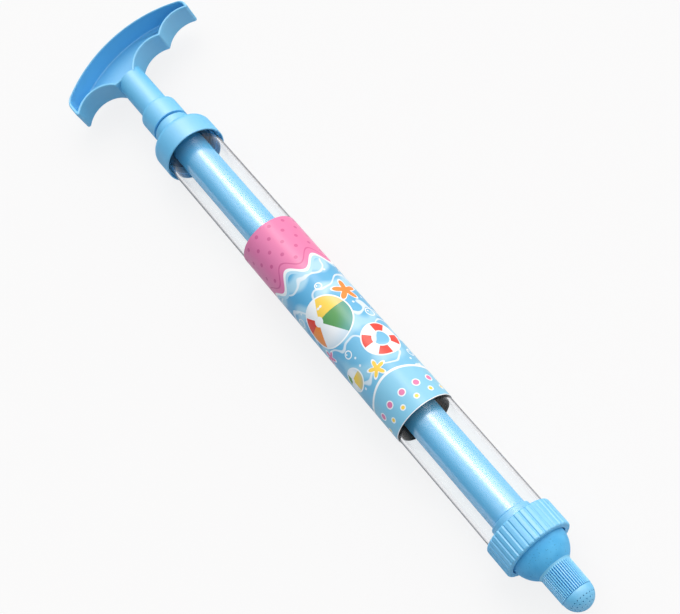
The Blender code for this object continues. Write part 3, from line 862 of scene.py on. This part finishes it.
def makeFrontCollar(sizes=frontCollar):
    # a skirt with a lip round the dome, turned from one profile and grooved round the outside
    rear, front, _ = stationsOf("front_collar")
    radius = radiusOf("rear_cap")
    bore = radiusOf("barrel_tube") + cadGap
    lipHole = domeShape["radius"] + cadGap
    gapEnd = front - sizes["gapDepth"]
    corners = [
        (rear, bore, 0.3 * mm),
        (rear, radius, sizes["edgeRound"]),
        (front, radius, sizes["edgeRound"]),
        (front, sizes["gapRadius"], 0.2 * mm),
        (gapEnd, sizes["gapRadius"], 0.05 * mm),
        (gapEnd, lipHole, 0.05 * mm),
        (front - sizes["lip"], lipHole, 0.2 * mm),
        (front - sizes["lip"], bore, 0.2 * mm),
    ]
    columns = sizes["ribs"] * sizes["columnsPerRib"]
    profile = roundedProfile(corners, arcSteps=8)
    piece = turnedPiece("ribbedCollar", profile, columns=columns, shrink=ribsOn(sizes, radius))
    return standFor(piece, "front_collar", bluePlastic("collarBlue", sizes["roughness"]))


frontGasket = {"width": 3.5 * mm, "edgeRound": 0.2 * mm}


def makeFrontGasket(sizes=frontGasket):
    # a flat ring
    rear, front, radius = stationsOf("front_gasket")
    profile = pipeProfile(rear, front, radius - sizes["width"], radius, sizes["edgeRound"])
    return standFor(turnedPiece("frontGasket", profile), "front_gasket", blackRubber)


domeShape = {
    "radius": 18.1 * mm,
    "centreX": 216.8 * mm,
    "wall": 2.1 * mm,
    "flangeFront": 215.2 * mm,
    "spoutRadius": 7.6 * mm,
    "spoutBore": 5.0 * mm,
    "spoutBevel": 0.5 * mm,
    "ringFloor": 6.0 * mm,
    "ringHalfWidth": 1.0 * mm,
    "ringThickness": 1.4 * mm,
    "steps": 40,
}


def makeNozzleDome(sizes=domeShape):
    # A round cap on a flange, with a spout in front. The outside follows a circle about the axis from the
    # collar to the spout, the inside a smaller one.
    flangeRear, spoutEnd, flangeRadius = stationsOf("nozzle_dome")
    ringRear, ringFront, _ = stationsOf("nozzle_o_ring")
    ringX = (ringRear + ringFront) / 2
    seatRadius = radiusOf("nozzle_sleeve")
    outer, spout, bore = sizes["radius"], sizes["spoutRadius"], sizes["spoutBore"]
    inner = outer - sizes["wall"]

    def roundCap(radius, centreX, fromRadius, toRadius):
        angles = np.arcsin((fromRadius / radius, toRadius / radius))
        return arcPoints((centreX, 0), radius, *angles, sizes["steps"])

    outside = roundCap(outer, sizes["centreX"], outer, seatRadius)
    inside = roundCap(inner, sizes["centreX"] - sizes["wall"], bore, inner)
    flange = [
        (flangeRear, inner),
        (flangeRear, flangeRadius),
        (sizes["flangeFront"], flangeRadius),
        (sizes["flangeFront"], outer),
    ]
    spoutLine = [
        (outside[-1, 0], spout),
        (ringX - sizes["ringHalfWidth"], spout),
        (ringX - sizes["ringHalfWidth"], sizes["ringFloor"]),
        (ringX + sizes["ringHalfWidth"], sizes["ringFloor"]),
        (ringX + sizes["ringHalfWidth"], spout),
        (spoutEnd - sizes["spoutBevel"], spout),
        (spoutEnd, spout - sizes["spoutBevel"]),
        (spoutEnd, bore),
    ]
    profile = np.concatenate([flange, outside, spoutLine, inside])
    return standFor(turnedPiece("nozzleDome", profile), "nozzle_dome", mattPlastic("domeBlue"))


def makeRubberRing(name, node, thickness, steps=24, columns=144):
    # a circle of one thickness carried round the axis
    rear, front, outer = stationsOf(node)
    half = thickness / 2
    profile = arcPoints(((rear + front) / 2, outer - half), half, 0, fullTurn, steps + 1)[:-1]
    return standFor(turnedPiece(name, profile, columns=columns), node, blackRubber)


# Nozzle

nozzleSleeve = {
    "frontRadius": 10.1 * mm,
    "bore": 8.0 * mm,
    "ribs": 44,
    "ribTurn": 0.0,
    "ribDepth": 1.0 * mm,
    "ribBand": 0.4 * mm,
    "crestShare": 0.7,
    "rootShare": 0.05,
    "ribFade": 0.6 * mm,  # length over which the ribs start
    "columnsPerRib": 12,
    # painted shade at the bottom of the grooves
    "ribRoot": screen(62, 154, 210),
    "crestLight": screen(112, 201, 242),
    "crestDark": screen(107, 197, 240),
    "roughness": 0.36,
    "flareRadius": 10.95 * mm,  # at its edge on the dome
    "flareEdge": 0.12 * mm,
    "flareLength": 0.8 * mm,
    "edgeRound": 0.3 * mm,
    "seatGap": 0.05 * mm,  # to the dome
}


def makeNozzleSleeve(sizes=nozzleSleeve):
    # A ribbed tube whose rear end spreads over the dome in a hollow curve: a parabola that leaves the dome
    # along its slope and runs out along the tube. Its inside follows the dome's circle.
    rear, front, radius = stationsOf("nozzle_sleeve")
    rear += sizes["seatGap"] - cadGap
    centreX = domeShape["centreX"]
    under = domeShape["radius"] + sizes["seatGap"]
    over = under + sizes["flareEdge"]

    def onCircle(circle, height):
        return np.stack([centreX + np.sqrt(circle**2 - height**2), height], axis=-1)

    insideCurve = onCircle(under, np.linspace(radius + 0.1 * mm, sizes["flareRadius"], 8))
    start = onCircle(over, np.array(sizes["flareRadius"]))
    slope = (start - (centreX, 0)) / over
    turn = start + np.array((slope[1], -slope[0])) * (start[1] - radius) / slope[0]
    ribStart = turn[0] + sizes["flareLength"]
    share = np.linspace(0, 1, 12)[:, None]
    end = np.array((ribStart, radius))
    flare = start * (1 - share) ** 2 + 2 * turn * share * (1 - share) + end * share**2
    edge = sizes["edgeRound"]
    frontRadius = sizes["frontRadius"]
    fadeX = np.linspace(ribStart, ribStart + sizes["ribFade"], 8)[1:]
    lean = (frontRadius - radius) / (front - ribStart)
    tube = np.stack([fadeX, radius + lean * (fadeX - ribStart)], axis=1)
    rim = arcPoints((front - edge, frontRadius - edge), edge, quarterTurn, 0, 6)
    bore = [(front, sizes["bore"]), (rear, sizes["bore"])]
    profile = np.concatenate([insideCurve, flare, tube, rim, bore])
    ribs = ribsOn(sizes, frontRadius - edge)

    def fadedRibs(x, radius, angle):
        fade = smoothStep(ribStart - sizes["ribFade"], ribStart + sizes["ribFade"], x)
        return ribs(x, radius, angle) * fade

    columns = sizes["ribs"] * sizes["columnsPerRib"]
    piece = turnedPiece("nozzleSleeve", profile, columns=columns, shrink=fadedRibs)
    blue = bluePlastic("sleeveBlue", sizes["roughness"], light=sizes["crestLight"], dark=sizes["crestDark"])
    # painted shade in the grooves between the ribs
    shadeGrooves(blue, (ribStart, radius), (front, frontRadius), sizes["ribDepth"], sizes["ribRoot"])
    return standFor(piece, "nozzle_sleeve", blue)


sprayTip = {
    "wall": 1.8 * mm,
    "plugRadius": 7.7 * mm,
    "plugWall": 1.6 * mm,
    "plugLength": 4.0 * mm,
    "edgeRound": 0.25 * mm,
    "holeRadius": 0.36 * mm,
    "holeSides": 20,
    "holeRings": ((0, 1), (16, 6), (32, 12), (47, 18), (62, 24)),  # degrees off the axis, holes in the ring
    "steps": 40,
    "roughness": 0.34,
}


def makeSprayTip(sizes=sprayTip):
    # a hollow half ball with a plug behind it, drilled by thin rods that all point at its centre
    _, front, radius = stationsOf("spray_tip")
    seam = front - radius
    inner = radius - sizes["wall"]
    plugBore = sizes["plugRadius"] - sizes["plugWall"]
    plugEnd = seam - sizes["plugLength"]
    outside = arcPoints((seam, 0), radius, 0, quarterTurn, sizes["steps"])
    inside = arcPoints((seam, 0), inner, np.arcsin(plugBore / inner), 0, sizes["steps"])
    bevel = sizes["edgeRound"] / 2
    plug = [
        (seam - bevel, radius - bevel),
        (seam - bevel, sizes["plugRadius"]),
        (plugEnd, sizes["plugRadius"]),
        (plugEnd, plugBore),
    ]
    piece = turnedPiece("sprayTip", np.concatenate([outside, plug, inside]), closed=False)
    # the rods: a circle at each end, square to the hole's direction
    degrees, counts = np.transpose(sizes["holeRings"])
    tilt = np.repeat(np.radians(degrees), counts)
    turn = np.concatenate([np.arange(count) * fullTurn / count for count in counts])
    aims = np.stack([np.cos(tilt), np.sin(tilt) * np.sin(turn), np.sin(tilt) * np.cos(turn)], axis=1)
    noHole = (0.31, 0.73, 0.61)  # a direction that no hole has
    side = np.cross(aims, noHole)
    side /= np.linalg.norm(side, axis=1, keepdims=True)
    other = np.cross(aims, side)
    corners = sizes["holeSides"]
    angle = np.linspace(0, fullTurn, corners, endpoint=False)[:, None]
    circle = sizes["holeRadius"] * (side[:, None] * np.cos(angle) + other[:, None] * np.sin(angle))
    reach = np.array((inner - sizes["wall"], radius + sizes["wall"]))
    rods = circle[:, None] + aims[:, None, None] * reach[:, None, None] + (seam, axisY, axisZ)
    start = (np.arange(len(aims)) * 2 * corners)[:, None, None]
    sides = (gridFaces(2, corners, False, True)[None] + start).reshape(-1, 4).tolist()
    ends = (np.arange(2 * corners).reshape(2, -1)[None] + start).reshape(-1, corners).tolist()
    drills = newPiece("sprayDrills", rods, sides + ends)
    cutAndJoin(piece, [("DIFFERENCE", drills)])
    softenEdges(piece)
    return standFor(piece, "spray_tip", bluePlastic("tipBlue", sizes["roughness"]))


# Plunger

plungerRod = {
    "wall": 1.8 * mm,
    "edgeRound": 0.4 * mm,
    "roughness": 0.3,
    "finish": {
        "light": screen(86, 184, 234),
        "dark": screen(81, 180, 231),
        "skinIor": 4.0,
        "skinShare": 0.57,
        "skinRoughness": 0.22,
    },
}


def makePlungerTube(sizes=plungerRod):
    # a plain pipe
    rear, front, radius = stationsOf("plunger_tube")
    profile = pipeProfile(rear, front, radius - sizes["wall"], radius, sizes["edgeRound"])
    blue = bluePlastic("rodBlue", sizes["roughness"], **sizes["finish"])
    return standFor(turnedPiece("plungerRod", profile), "plunger_tube", blue)


pistonShape = {
    "screwHole": 2.2 * mm,
    "pilotDepth": 12 * mm,
    "shoulderLength": 6.7 * mm,
    "shoulderRound": 0.6 * mm,
    "spigotRadius": 9.7 * mm,
    "plugRoughness": 0.34,
    "recessRadius": 4.5 * mm,
    "recessDepth": 3.0 * mm,
    "grooveFloor": 14.9 * mm,
    "grooveWidth": 3.1 * mm,
    "grooveRound": 0.3 * mm,
    "sealThickness": 2.5 * mm,
    "sealOffset": 2.35 * mm,  # from the piston's middle
}


def makeRodPlug(sizes=pistonShape):
    # a spigot and a shoulder with a blind hole in front: a profile that starts and ends on the axis
    rear, front, radius = stationsOf("rod_plug")
    shoulder = front - sizes["shoulderLength"]
    pilotEnd = front - sizes["pilotDepth"]
    corners = [
        (rear, 0, 0),
        (rear, sizes["spigotRadius"], 0.5 * mm),
        (shoulder, sizes["spigotRadius"], 0.2 * mm),
        (shoulder, radius, sizes["shoulderRound"]),
        (front, radius, sizes["shoulderRound"]),
        (front, sizes["screwHole"], 0.2 * mm),
        (pilotEnd, sizes["screwHole"], 0.2 * mm),
        (pilotEnd, 0, 0),
    ]
    piece = turnedPiece("rodPlug", roundedProfile(corners, closed=False), closed=False)
    return standFor(piece, "rod_plug", bluePlastic("plugBlue", sizes["plugRoughness"]))


def makePistonHead(sizes=pistonShape):
    # a disc with two grooves for the seals and a recess for the screw, turned from one profile
    rear, front, radius = stationsOf("piston_head")
    middle = (rear + front) / 2
    half = sizes["grooveWidth"] / 2
    edge = sizes["grooveRound"]
    corners = [(rear, sizes["screwHole"], 0.2 * mm), (rear, radius, sizes["shoulderRound"])]
    for offset in (-sizes["sealOffset"], sizes["sealOffset"]):
        corners += [
            (middle + offset - half, radius, edge),
            (middle + offset - half, sizes["grooveFloor"], edge),
            (middle + offset + half, sizes["grooveFloor"], edge),
            (middle + offset + half, radius, edge),
        ]
    recess = front - sizes["recessDepth"]
    corners += [
        (front, radius, sizes["shoulderRound"]),
        (front, sizes["recessRadius"], 0.3 * mm),
        (recess, sizes["recessRadius"], 0.2 * mm),
        (recess, sizes["screwHole"], 0.2 * mm),
    ]
    light, dark = screen(232, 234, 235), screen(222, 225, 227)
    white = grainyFinish("pistonWhite", light, dark, scale=500, roughness=0.42, bump=0.02 * mm)
    return standFor(turnedPiece("pistonHead", roundedProfile(corners)), "piston_head", white)


pistonScrew = {
    "shankRadius": 1.9 * mm,
    "headLength": 2.4 * mm,
    "slotWidth": 1.1 * mm,
    "slotDepth": 1.2 * mm,
    "slotReach": 0.7,  # of the head's radius
    "columns": 96,
}


def makePistonScrew(sizes=pistonScrew):
    # a cheese-head screw turned from one profile, with a cross of two slots cut into the head
    rear, front, radius = stationsOf("piston_screw")
    head = front - sizes["headLength"]
    shank = sizes["shankRadius"]
    corners = [
        (rear, 0, 0),
        (rear, shank, 0.6 * mm),
        (head, shank, 0.2 * mm),
        (head, radius, 0.3 * mm),
        (front, radius, 0.7 * mm),
        (front, 0, 0),
    ]
    profile = roundedProfile(corners, closed=False)
    piece = turnedPiece("pistonScrew", profile, closed=False, columns=sizes["columns"])
    cube = np.array([(x, y, z) for x in (0, 1) for y in (-1, 1) for z in (-1, 1)], float)
    faces = [(0, 1, 3, 2), (4, 6, 7, 5), (0, 4, 5, 1), (2, 3, 7, 6), (0, 2, 6, 4), (1, 5, 7, 3)]
    reach = sizes["slotReach"] * radius
    half = sizes["slotWidth"] / 2
    depth = sizes["slotDepth"]
    tools = []
    for name, halfY, halfZ in (("slotAcross", reach, half), ("slotUp", half, reach)):
        points = cube * (2 * depth, halfY, halfZ) + (front - depth, axisY, axisZ)
        tools.append(("DIFFERENCE", newPiece(name, points, faces)))
    cutAndJoin(piece, tools)
    softenEdges(piece)
    light, dark = screen(206, 208, 210), screen(186, 188, 192)
    plating = {"scale": 900, "roughness": 0.28, "bump": 0.01 * mm, "metallic": 1.0}
    steel = grainyFinish("platedSteel", light, dark, **plating)
    return standFor(piece, "piston_screw", steel)


# Handle, as seen from above with x along the barrel and y from its axis

handleGrip = {
    "wall": 2.0 * mm,
    "backTaper": 0.9 * mm,  # by which the back wall is thinner at its rim
    "floor": 3.0 * mm,
    "thickness": 18.6 * mm,
    "backRadius": 97 * mm,
    "backY": 11.6 * mm,  # of the back arc's centre
    "stemX": -223.9 * mm,  # where the stem meets the tray
    "shortEndY": -45.6 * mm,
    "shortEndRound": 10 * mm,
    "longEndY": 65.0 * mm,
    "longEndRound": 7 * mm,
    "crestRound": 1.6 * mm,
    "leastCrestRound": 0.4 * mm,
    "scallopRadius": 20 * mm,
    "shortArmScallop": (-213.5 * mm, -28.1 * mm),
    "longArmScallop": (-215.6 * mm, 24.6 * mm),
    "longEndScallop": (-219.4 * mm, 51.6 * mm),
    "underRound": 0.8 * mm,
    "rimRound": 0.85 * mm,
    "pocketFillet": 0.9 * mm,
    "arcSteps": 40,
    "edgeSteps": 8,
    "sharpAngle": 38,  # degrees
    "roughness": 0.3,
}


def gripOutline(inset, backInset, sizes=handleGrip):
    # The tray's outline drawn in by inset, as arcs that touch: two scallops on the long arm with a crest
    # between them, the long end, the back arc with its own inset, the short end and its scallop. Every
    # inset has the same number of points, so that outlines join up into walls.
    steps = sizes["arcSteps"]
    few = steps // 3
    scallop = sizes["scallopRadius"] + inset
    crest = max(sizes["crestRound"] - inset, sizes["leastCrestRound"])
    backRadius = sizes["backRadius"] - backInset
    backCentre = np.array((cadLow.x + sizes["backRadius"], sizes["backY"]))
    stemX = sizes["stemX"] - inset
    scallops = ("shortArmScallop", "longArmScallop", "longEndScallop")
    shortArm, longArm, longEnd = (np.array(sizes[name]) for name in scallops)

    def direction(centre, point):
        return np.arctan2(point[1] - centre[1], point[0] - centre[0]) % fullTurn

    def endOfArm(endY, side, endRound, scallopCentre):
        cornerY = endY - side * endRound
        cornerReach = backRadius - (endRound - inset)
        cornerX = backCentre[0] - np.sqrt(cornerReach**2 - (cornerY - backCentre[1]) ** 2)
        crestY = endY - side * (inset + crest)
        crestX = scallopCentre[0] - np.sqrt((scallop + crest) ** 2 - (crestY - scallopCentre[1]) ** 2)
        return (cornerX, cornerY), (crestX, crestY)

    def stemAngle(centre, side):
        drop = stemX - centre[0]
        return np.arctan2(side * np.sqrt(scallop**2 - drop**2), drop) % fullTurn

    longCorner, longCrest = endOfArm(sizes["longEndY"], 1, sizes["longEndRound"], longEnd)
    shortCorner, shortCrest = endOfArm(sizes["shortEndY"], -1, sizes["shortEndRound"], shortArm)
    gap = longEnd - longArm
    span = np.linalg.norm(gap)
    rise = np.sqrt((scallop + crest) ** 2 - (span / 2) ** 2)
    middleCrest = (longArm + longEnd) / 2 + np.array((-gap[1], gap[0])) / span * rise
    intoMiddle, outOfMiddle = direction(longArm, middleCrest), direction(longEnd, middleCrest)
    intoLong, outOfShort = direction(longEnd, longCrest), direction(shortArm, shortCrest)
    longBack, shortBack = direction(backCentre, longCorner), direction(backCentre, shortCorner)
    return np.concatenate([
        arcPoints(longArm, scallop, stemAngle(longArm, -1), intoMiddle, steps),
        arcPoints(middleCrest, crest, intoMiddle - np.pi, outOfMiddle - np.pi, few),
        arcPoints(longEnd, scallop, outOfMiddle, intoLong, steps),
        arcPoints(longCrest, crest, intoLong - np.pi, quarterTurn, few),
        arcPoints(longCorner, sizes["longEndRound"] - inset, quarterTurn, longBack, few * 2),
        arcPoints(backCentre, backRadius, longBack, shortBack, steps * 3)[1:-1],
        arcPoints(shortCorner, sizes["shortEndRound"] - inset, shortBack, 3 * quarterTurn, few * 2),
        arcPoints(shortCrest, crest, -quarterTurn, outOfShort - np.pi, few),
        arcPoints(shortArm, scallop, outOfShort, stemAngle(shortArm, 1), steps),
    ])


def traySolid(name, wallProfile, backTaper=0.0):
    # The outline carried up a profile of (inset, height from the axis), with flat ends. backTaper is taken
    # off the back arc's inset in step with the height.
    insets, heights = wallProfile.T
    rise = np.clip((heights - heights[0]) / handleGrip["thickness"], 0, 1)
    backInsets = insets - backTaper * rise
    outline = np.stack([gripOutline(*pair) for pair in zip(insets, backInsets)])
    rows, columns = outline.shape[:2]
    height = np.broadcast_to(heights[:, None], (rows, columns))
    points = np.stack([outline[..., 0], axisY + outline[..., 1], axisZ + height], axis=-1)
    faces = gridFaces(rows, columns, False, True).tolist()
    faces.append(list(range(columns)))
    faces.append(list(range((rows - 1) * columns, rows * columns)))
    return newPiece(name, points, faces)


handleStem = {
    "socketRadius": 13.9 * mm,
    "socketRear": -189.4 * mm,
    "socketRound": 2.5 * mm,
    "socketDepth": 16 * mm,
    "mouthRound": 0.5 * mm,
    "stemRadius": 10.5 * mm,
    "stemRound": 0.8 * mm,
    "stemEnd": -230 * mm,
    "aboveBack": 0.3 * mm,  # from the tray's back to the flat underside
    "columns": 192,
}


def makeHandle(sizes=handleGrip, stem=handleStem):
    # A solid tray and a turned stem joined, less the tray's pocket. Extra points beside each arc hold the
    # flat faces flat in the shading.
    half = sizes["thickness"] / 2
    under, rim, fillet, wall = (sizes[key] for key in ("underRound", "rimRound", "pocketFillet", "wall"))
    steps = sizes["edgeSteps"]
    # outer skin: flat back, rounded lower edge, wall, rounded rim
    skin = [
        [(1.4 * under, -half)],
        arcPoints((under, under - half), under, -quarterTurn, -np.pi, steps),
        [(0, 1.4 * under - half), (0, half - 1.4 * rim)],
        arcPoints((rim, half - rim), rim, np.pi, quarterTurn, steps),
        [(1.15 * rim, half)],
    ]
    piece = traySolid("pullHandle", np.concatenate(skin))
    # pocket: filleted floor, wall and a rim that leans out over the wall's top
    floorZ = -half + sizes["floor"]
    hollow = [
        [(wall + 1.3 * fillet, floorZ)],
        arcPoints((wall + fillet, floorZ + fillet), fillet, -quarterTurn, -np.pi, steps),
        [(wall, half - 1.4 * rim)],
        arcPoints((wall - rim, half - rim), rim, 0, quarterTurn, steps),
        [(wall - rim, half + 6 * mm)],
    ]
    pocket = traySolid("handlePocket", np.concatenate(hollow), sizes["backTaper"])
    # stem with a socket for the rod; inside the tray its underside is cut flat above the tray's back
    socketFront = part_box("handle")[1].x
    socketEnd = socketFront - stem["socketDepth"]
    rodHole = radiusOf("plunger_tube") + cadGap
    corners = [
        (socketEnd, 0, 0),
        (socketEnd, rodHole, 0.3 * mm),
        (socketFront, rodHole, 0.2 * mm),
        (socketFront, stem["socketRadius"], stem["mouthRound"]),
        (stem["socketRear"], stem["socketRadius"], stem["socketRound"]),
        (stem["socketRear"], stem["stemRadius"], stem["stemRound"]),
        (sizes["stemX"] + 0.3 * mm, stem["stemRadius"], 0),
        (sizes["stemX"], stem["stemRadius"], 0),
        (stem["stemEnd"], stem["stemRadius"], 0),
        (stem["stemEnd"], 0, 0),
    ]
    angles = np.linspace(0, fullTurn, stem["columns"], endpoint=False)
    profile = roundedProfile(corners, closed=False)
    points = turnedPoints(profile, angles)
    inTray = points[..., 0] < sizes["stemX"] + 0.1 * mm
    lowest = axisZ - half + stem["aboveBack"]
    points[..., 2] = np.where(inTray, np.maximum(points[..., 2], lowest), points[..., 2])
    post = newPiece("handleStem", points, gridFaces(len(profile), len(angles), False, True))
    cutAndJoin(piece, [("UNION", post), ("DIFFERENCE", pocket)])
    softenEdges(piece, sizes["sharpAngle"])
    return standFor(piece, "handle", bluePlastic("handleBlue", sizes["roughness"]))


# Studio

studio = {
    "floorSize": 6.0,
    "floor": screen(212, 213, 215),
    "floorRoughness": 0.9,
    "floorGloss": 0.1,
    "floorGlow": 0.82,  # share of the floor that looks plain white, so that its shadows stay light
    "glossGlow": 0.1,  # the same, as gloss shows it
    "backdrop": 0.962,  # of white, past the floor's edge
    "ambient": 0.39,  # of white, from all round
    "ambientFront": 0.22,  # of white, from +X
    "frontFade": (0.1, 0.9),  # x of the direction over which that comes in
    "shadeShare": 0.74,  # of the ambient that comes from -Y
    "shadeFade": (-0.9, -0.1),  # y of the direction
    "paleGloss": 0.3,  # of white, the least that gloss and glass show of the background
    "coolSide": (0.78, 0.96, 1.08, 1),  # tone of the light from -Y
    "warmSide": (1.12, 1.0, 0.93, 1),  # and from +Y
    "toneFade": (-0.7, 0.6),
    # soft boxes: degrees from straight up towards +Y and half width there, then x of the direction to the
    # box and half length there, and strength
    "softboxes": (
        (31, 16.5, -0.45, 0.5, 4.2),
        (-6, 32, -0.45, 0.5, 1.0),
        (68, 27, -0.1, 0.7, 1.5),
        (5, 25, 0.66, 0.18, 1.4),
    ),
}


def makeFloor(sizes=studio):
    # a flat square that the camera sees as nearly white, with soft shadows
    half = sizes["floorSize"] / 2
    corners = np.array([(-half, -half, 0), (half, -half, 0), (half, half, 0), (-half, half, 0)])
    floor = placeObject("studioFloor", newMesh("studioFloor", corners, [(0, 1, 2, 3)]))
    material, tree, shader = newMaterial("floorPaper")
    setInputs(tree, shader, {
        "Base Color": sizes["floor"],
        "Roughness": sizes["floorRoughness"],
        "Specular IOR Level": sizes["floorGloss"],
    })
    path = tree.nodes.new("ShaderNodeLightPath")
    seen = Field(tree, path.outputs["Is Camera Ray"]).maths("MAXIMUM", path.outputs["Is Transmission Ray"])
    glossSeen = Field(tree, path.outputs["Is Glossy Ray"]) * sizes["glossGlow"]
    share = glossSeen.maths("MAXIMUM", seen * sizes["floorGlow"])
    glow = tree.nodes.new("ShaderNodeEmission").outputs[0]
    surface = mixShaders(tree, share, shader.outputs["BSDF"], glow)
    tree.links.new(surface, tree.nodes["Material Output"].inputs["Surface"])
    floor.data.materials.append(material)


def makeLight(sizes=studio):
    # light from all round, plus soft boxes that are long along the barrel and fade at their edges: the
    # strength is exp(-(across squared + along squared)), each counted in half widths from the middle
    world = bpy.data.worlds.new("studioLight")
    world.use_nodes = True
    tree = world.node_tree
    bpy.context.scene.world = world
    toSky = tree.nodes.new("ShaderNodeTexCoord").outputs["Generated"]
    alongX, alongY, alongZ = splitVector(tree, toSky)
    fromTop = alongY.maths("ARCTAN2", alongZ)
    light = alongX.ramp(*sizes["frontFade"], sizes["ambient"], sizes["ambientFront"])
    light *= alongY.ramp(*sizes["shadeFade"], sizes["shadeShare"], 1.0)
    for across, halfWidth, along, halfLength, strength in sizes["softboxes"]:
        offAcross = (fromTop - np.radians(across)) / np.radians(halfWidth)
        offAlong = (alongX - along) / halfLength
        light += ((offAcross * offAcross + offAlong * offAlong) * -1).maths("EXPONENT") * strength
    # the camera sees the floor's own shade past its edge, and gloss and glass at least a pale share of it
    path = tree.nodes.new("ShaderNodeLightPath")
    seen, glossy = (Field(tree, path.outputs[ray]) for ray in ("Is Camera Ray", "Is Glossy Ray"))
    bounced = glossy.maths("MAXIMUM", path.outputs["Is Transmission Ray"])
    light = light.maths("MAXIMUM", bounced * sizes["paleGloss"])
    tone = mixColours(tree, alongY.ramp(*sizes["toneFade"]), sizes["coolSide"], sizes["warmSide"])
    setInputs(tree, tree.nodes["Background"], {
        "Color": mixColours(tree, seen, tone, (1, 1, 1, 1)),
        "Strength": light + (light * -1 + sizes["backdrop"]) * seen,
    })


# Camera, fitted to the photograph: 680 by 614 pixels

photoCamera = {
    "width": 680,
    "height": 614,
    "lens": 1300,  # pixels
    "sensor": 36,
    "nearest": 0.01,
    "distance": 815.2 * mm,  # to a point on the barrel's axis
    "aimX": 17.6 * mm,  # that point's place along the axis
    "aimPixel": (329.7, 308.8),
    "tilt": 27.42,  # degrees that the nozzle end leans towards the camera
    "turn": 48.86,  # degrees of the axis in the picture, below level
}


def makeCamera(sizes=photoCamera):
    # the object's axes as the camera sees them, each as right, down and away, then the place from which
    # the aimed point falls on its pixel
    tilt, turn = np.radians((sizes["tilt"], sizes["turn"]))
    alongAxis = np.array((np.cos(tilt) * np.cos(turn), np.cos(tilt) * np.sin(turn), -np.sin(tilt)))
    acrossAxis = np.array((np.sin(turn), -np.cos(turn), 0))
    seen = np.stack([alongAxis, acrossAxis, np.cross(alongAxis, acrossAxis)], axis=1)
    fromMiddle = np.array(sizes["aimPixel"]) - (sizes["width"] / 2, sizes["height"] / 2)
    aim = np.append(fromMiddle / sizes["lens"], 1)
    place = np.array((sizes["aimX"], axisY, axisZ)) - seen.T @ aim * sizes["distance"]
    matrix = np.eye(4)
    matrix[:3, :3] = (seen * np.array((1, -1, -1))[:, None]).T
    matrix[:3, 3] = place
    data = bpy.data.cameras.new("photoCamera")
    data.sensor_fit = "HORIZONTAL"
    data.sensor_width = sizes["sensor"]
    data.lens = sizes["lens"] * sizes["sensor"] / sizes["width"]
    data.clip_start = sizes["nearest"]
    camera = placeObject("photoCamera", data)
    camera.matrix_world = Matrix(matrix.tolist())
    bpy.context.scene.camera = camera


blackRubber = grainyFinish(
    "blackRubber", screen(34, 34, 36), screen(24, 24, 26), scale=1100, roughness=0.58, bump=0.03 * mm
)

makeCamera()
makeFloor()
makeLight()
print("camera and studio are set")
makeBarrelTube()
makeLabelSleeve()
makeRearCap()
makeRodGuide()
makeFrontCollar()
makeFrontGasket()
makeNozzleDome()
makeRubberRing("nozzleRing", "nozzle_o_ring", domeShape["ringThickness"])
print("barrel is built")
makeNozzleSleeve()
makeSprayTip()
print("nozzle is built")
makePlungerTube()
makeRodPlug()
makePistonHead()
makePistonScrew()
makeRubberRing("rearSeal", "piston_seal_rear", pistonShape["sealThickness"])
makeRubberRing("frontSeal", "piston_seal_front", pistonShape["sealThickness"])
print("plunger is built")
makeHandle()
print("handle is built")

bpy.context.scene.view_settings.view_transform = "Standard"
bpy.context.view_layer.update()
